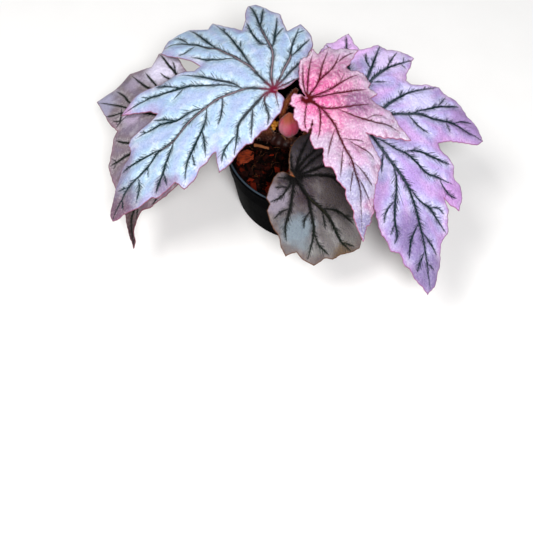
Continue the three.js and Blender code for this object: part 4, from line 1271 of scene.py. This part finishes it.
petal = Finish("bud_skin", Specular_IOR_Level=0.45, Sheen_Weight=0.2)
spot = petal.place()
blush = petal.grain(spot, 8, 3)
lift = petal.plus(petal.level(spot), petal.scaled(blush, -4, 4))
flush = petal.blend(petal.rise(blush, 0.35, 0.65), "#ff5a80", "#ff93a8")
petal.wear(
    Base_Color=petal.blend(petal.rise(lift, *ORANGE_RISE), flush, "#d9714e"),
    Roughness=petal.scaled(blush, 0.35, 0.55),
    Subsurface_Weight=0.25,
    Subsurface_Radius=(0.003, 0.001, 0.0008),
)
petal.bump((petal.grain(spot, 1.4, 4), 0.3), (petal.cells(spot, 0.6), 0.08))
corners = np.array(BUD_PROFILE, float)
bud_profile = through(corners.tolist(), np.linspace(0, 1, 70))
bud_profile[:, 0] = np.maximum(bud_profile[:, 0], 0)
points, faces = turned([tuple(step) for step in bud_profile], 96)
angle = np.arctan2(points[:, 1], points[:, 0])
rise = np.clip(points[:, 2] / BUD_PROFILE[-1][1], 0, 1)
off_fold = np.abs(angle - BUD_FOLD_BEARING)
off_fold = np.minimum(off_fold, 2 * math.pi - off_fold)
fold = 1 - BUD_FOLD_DEPTH * np.exp(-(off_fold / BUD_FOLD_WIDTH) ** 2)
pleats = 1 + BUD_PLEAT_DEPTH * np.sin(9 * angle + 3 * rise) * np.sin(math.pi * rise)
points[:, :2] *= (1 + (fold * pleats - 1) * np.clip(rise * 4, 0, 1))[:, None]
points[:, 1] *= BUD_FLATNESS
make_piece(
    "folded_young_leaf", points + BUD_SEAT, faces, [petal.material], "bud", ["bud"], sharp=80,
)
levels = np.linspace(*DOWN_SPAN, 30)
spine = np.column_stack([0 * levels, 0 * levels, levels]) + BUD_SEAT
girth = np.interp(levels, corners[:, 1], corners[:, 0]) * 0.86
down = hairs([(spine, girth, 0)], DOWN_PER_MM, DOWN_LENGTHS)
bundle("bud_down", down, hair.material, "bud")

# ---------------------------------------------------------------------------------------------
# The studio. A plain pale floor under the pot, a large soft light from the upper left, a weaker
# one in front, and the camera that looks down on the plant from the front.

FLOOR_SIZE = 6000
MIDDLE_OF_PLANT = (0, 0, 0.1)
ROOM_COLOUR = (0.94, 0.96, 1, 1)
ROOM_LIGHT = 0.22
CAMERA_PLACE = (-0.02796, -0.40363, 0.61753)
CAMERA_TILT = 28
CAMERA_LENS = 60.8

paper = Finish("floor_paper", Specular_IOR_Level=0.2)
weave = paper.grain(paper.place(), 40, 4)
paper.wear(
    Base_Color=paper.blend(weave, "#ecebe9", "#f2f1ef"),
    Roughness=paper.scaled(weave, 0.85, 0.95),
)
side = FLOOR_SIZE / 2
corners = [(-side, -side, 0), (side, -side, 0), (side, side, 0), (-side, side, 0)]
floor = placed("floor", meshed("floor", corners, [(0, 1, 2, 3)]))
floor.data.materials.append(paper.material)


def soft_light(name, place, size, power, tint):
    """A square light that faces the middle of the plant."""
    lamp = bpy.data.lights.new(name, "AREA")
    lamp.size = size
    lamp.energy = power
    lamp.color = tint
    holder = placed(name, lamp)
    holder.location = place
    aim = Vector(MIDDLE_OF_PLANT) - Vector(place)
    holder.rotation_euler = aim.to_track_quat("-Z", "Y").to_euler()


soft_light("key_softbox", place=(-0.6, -0.3, 1.35), size=0.5, power=11, tint=(1, 0.985, 0.97))
soft_light("front_fill", place=(0.1, -0.85, 1.2), size=0.4, power=19, tint=(0.98, 0.985, 1))

room = bpy.data.worlds.new("pale_room")
room.use_nodes = True
room.node_tree.nodes["Background"].inputs["Color"].default_value = ROOM_COLOUR
room.node_tree.nodes["Background"].inputs["Strength"].default_value = ROOM_LIGHT
bpy.context.scene.world = room

camera = placed("camera", bpy.data.cameras.new("camera"))
camera.location = CAMERA_PLACE
camera.rotation_euler = (math.radians(CAMERA_TILT), 0, 0)
camera.data.lens = CAMERA_LENS
camera.data.sensor_width = 36
camera.data.clip_start = 0.01
bpy.context.scene.camera = camera
bpy.context.scene.view_settings.view_transform = "Standard"
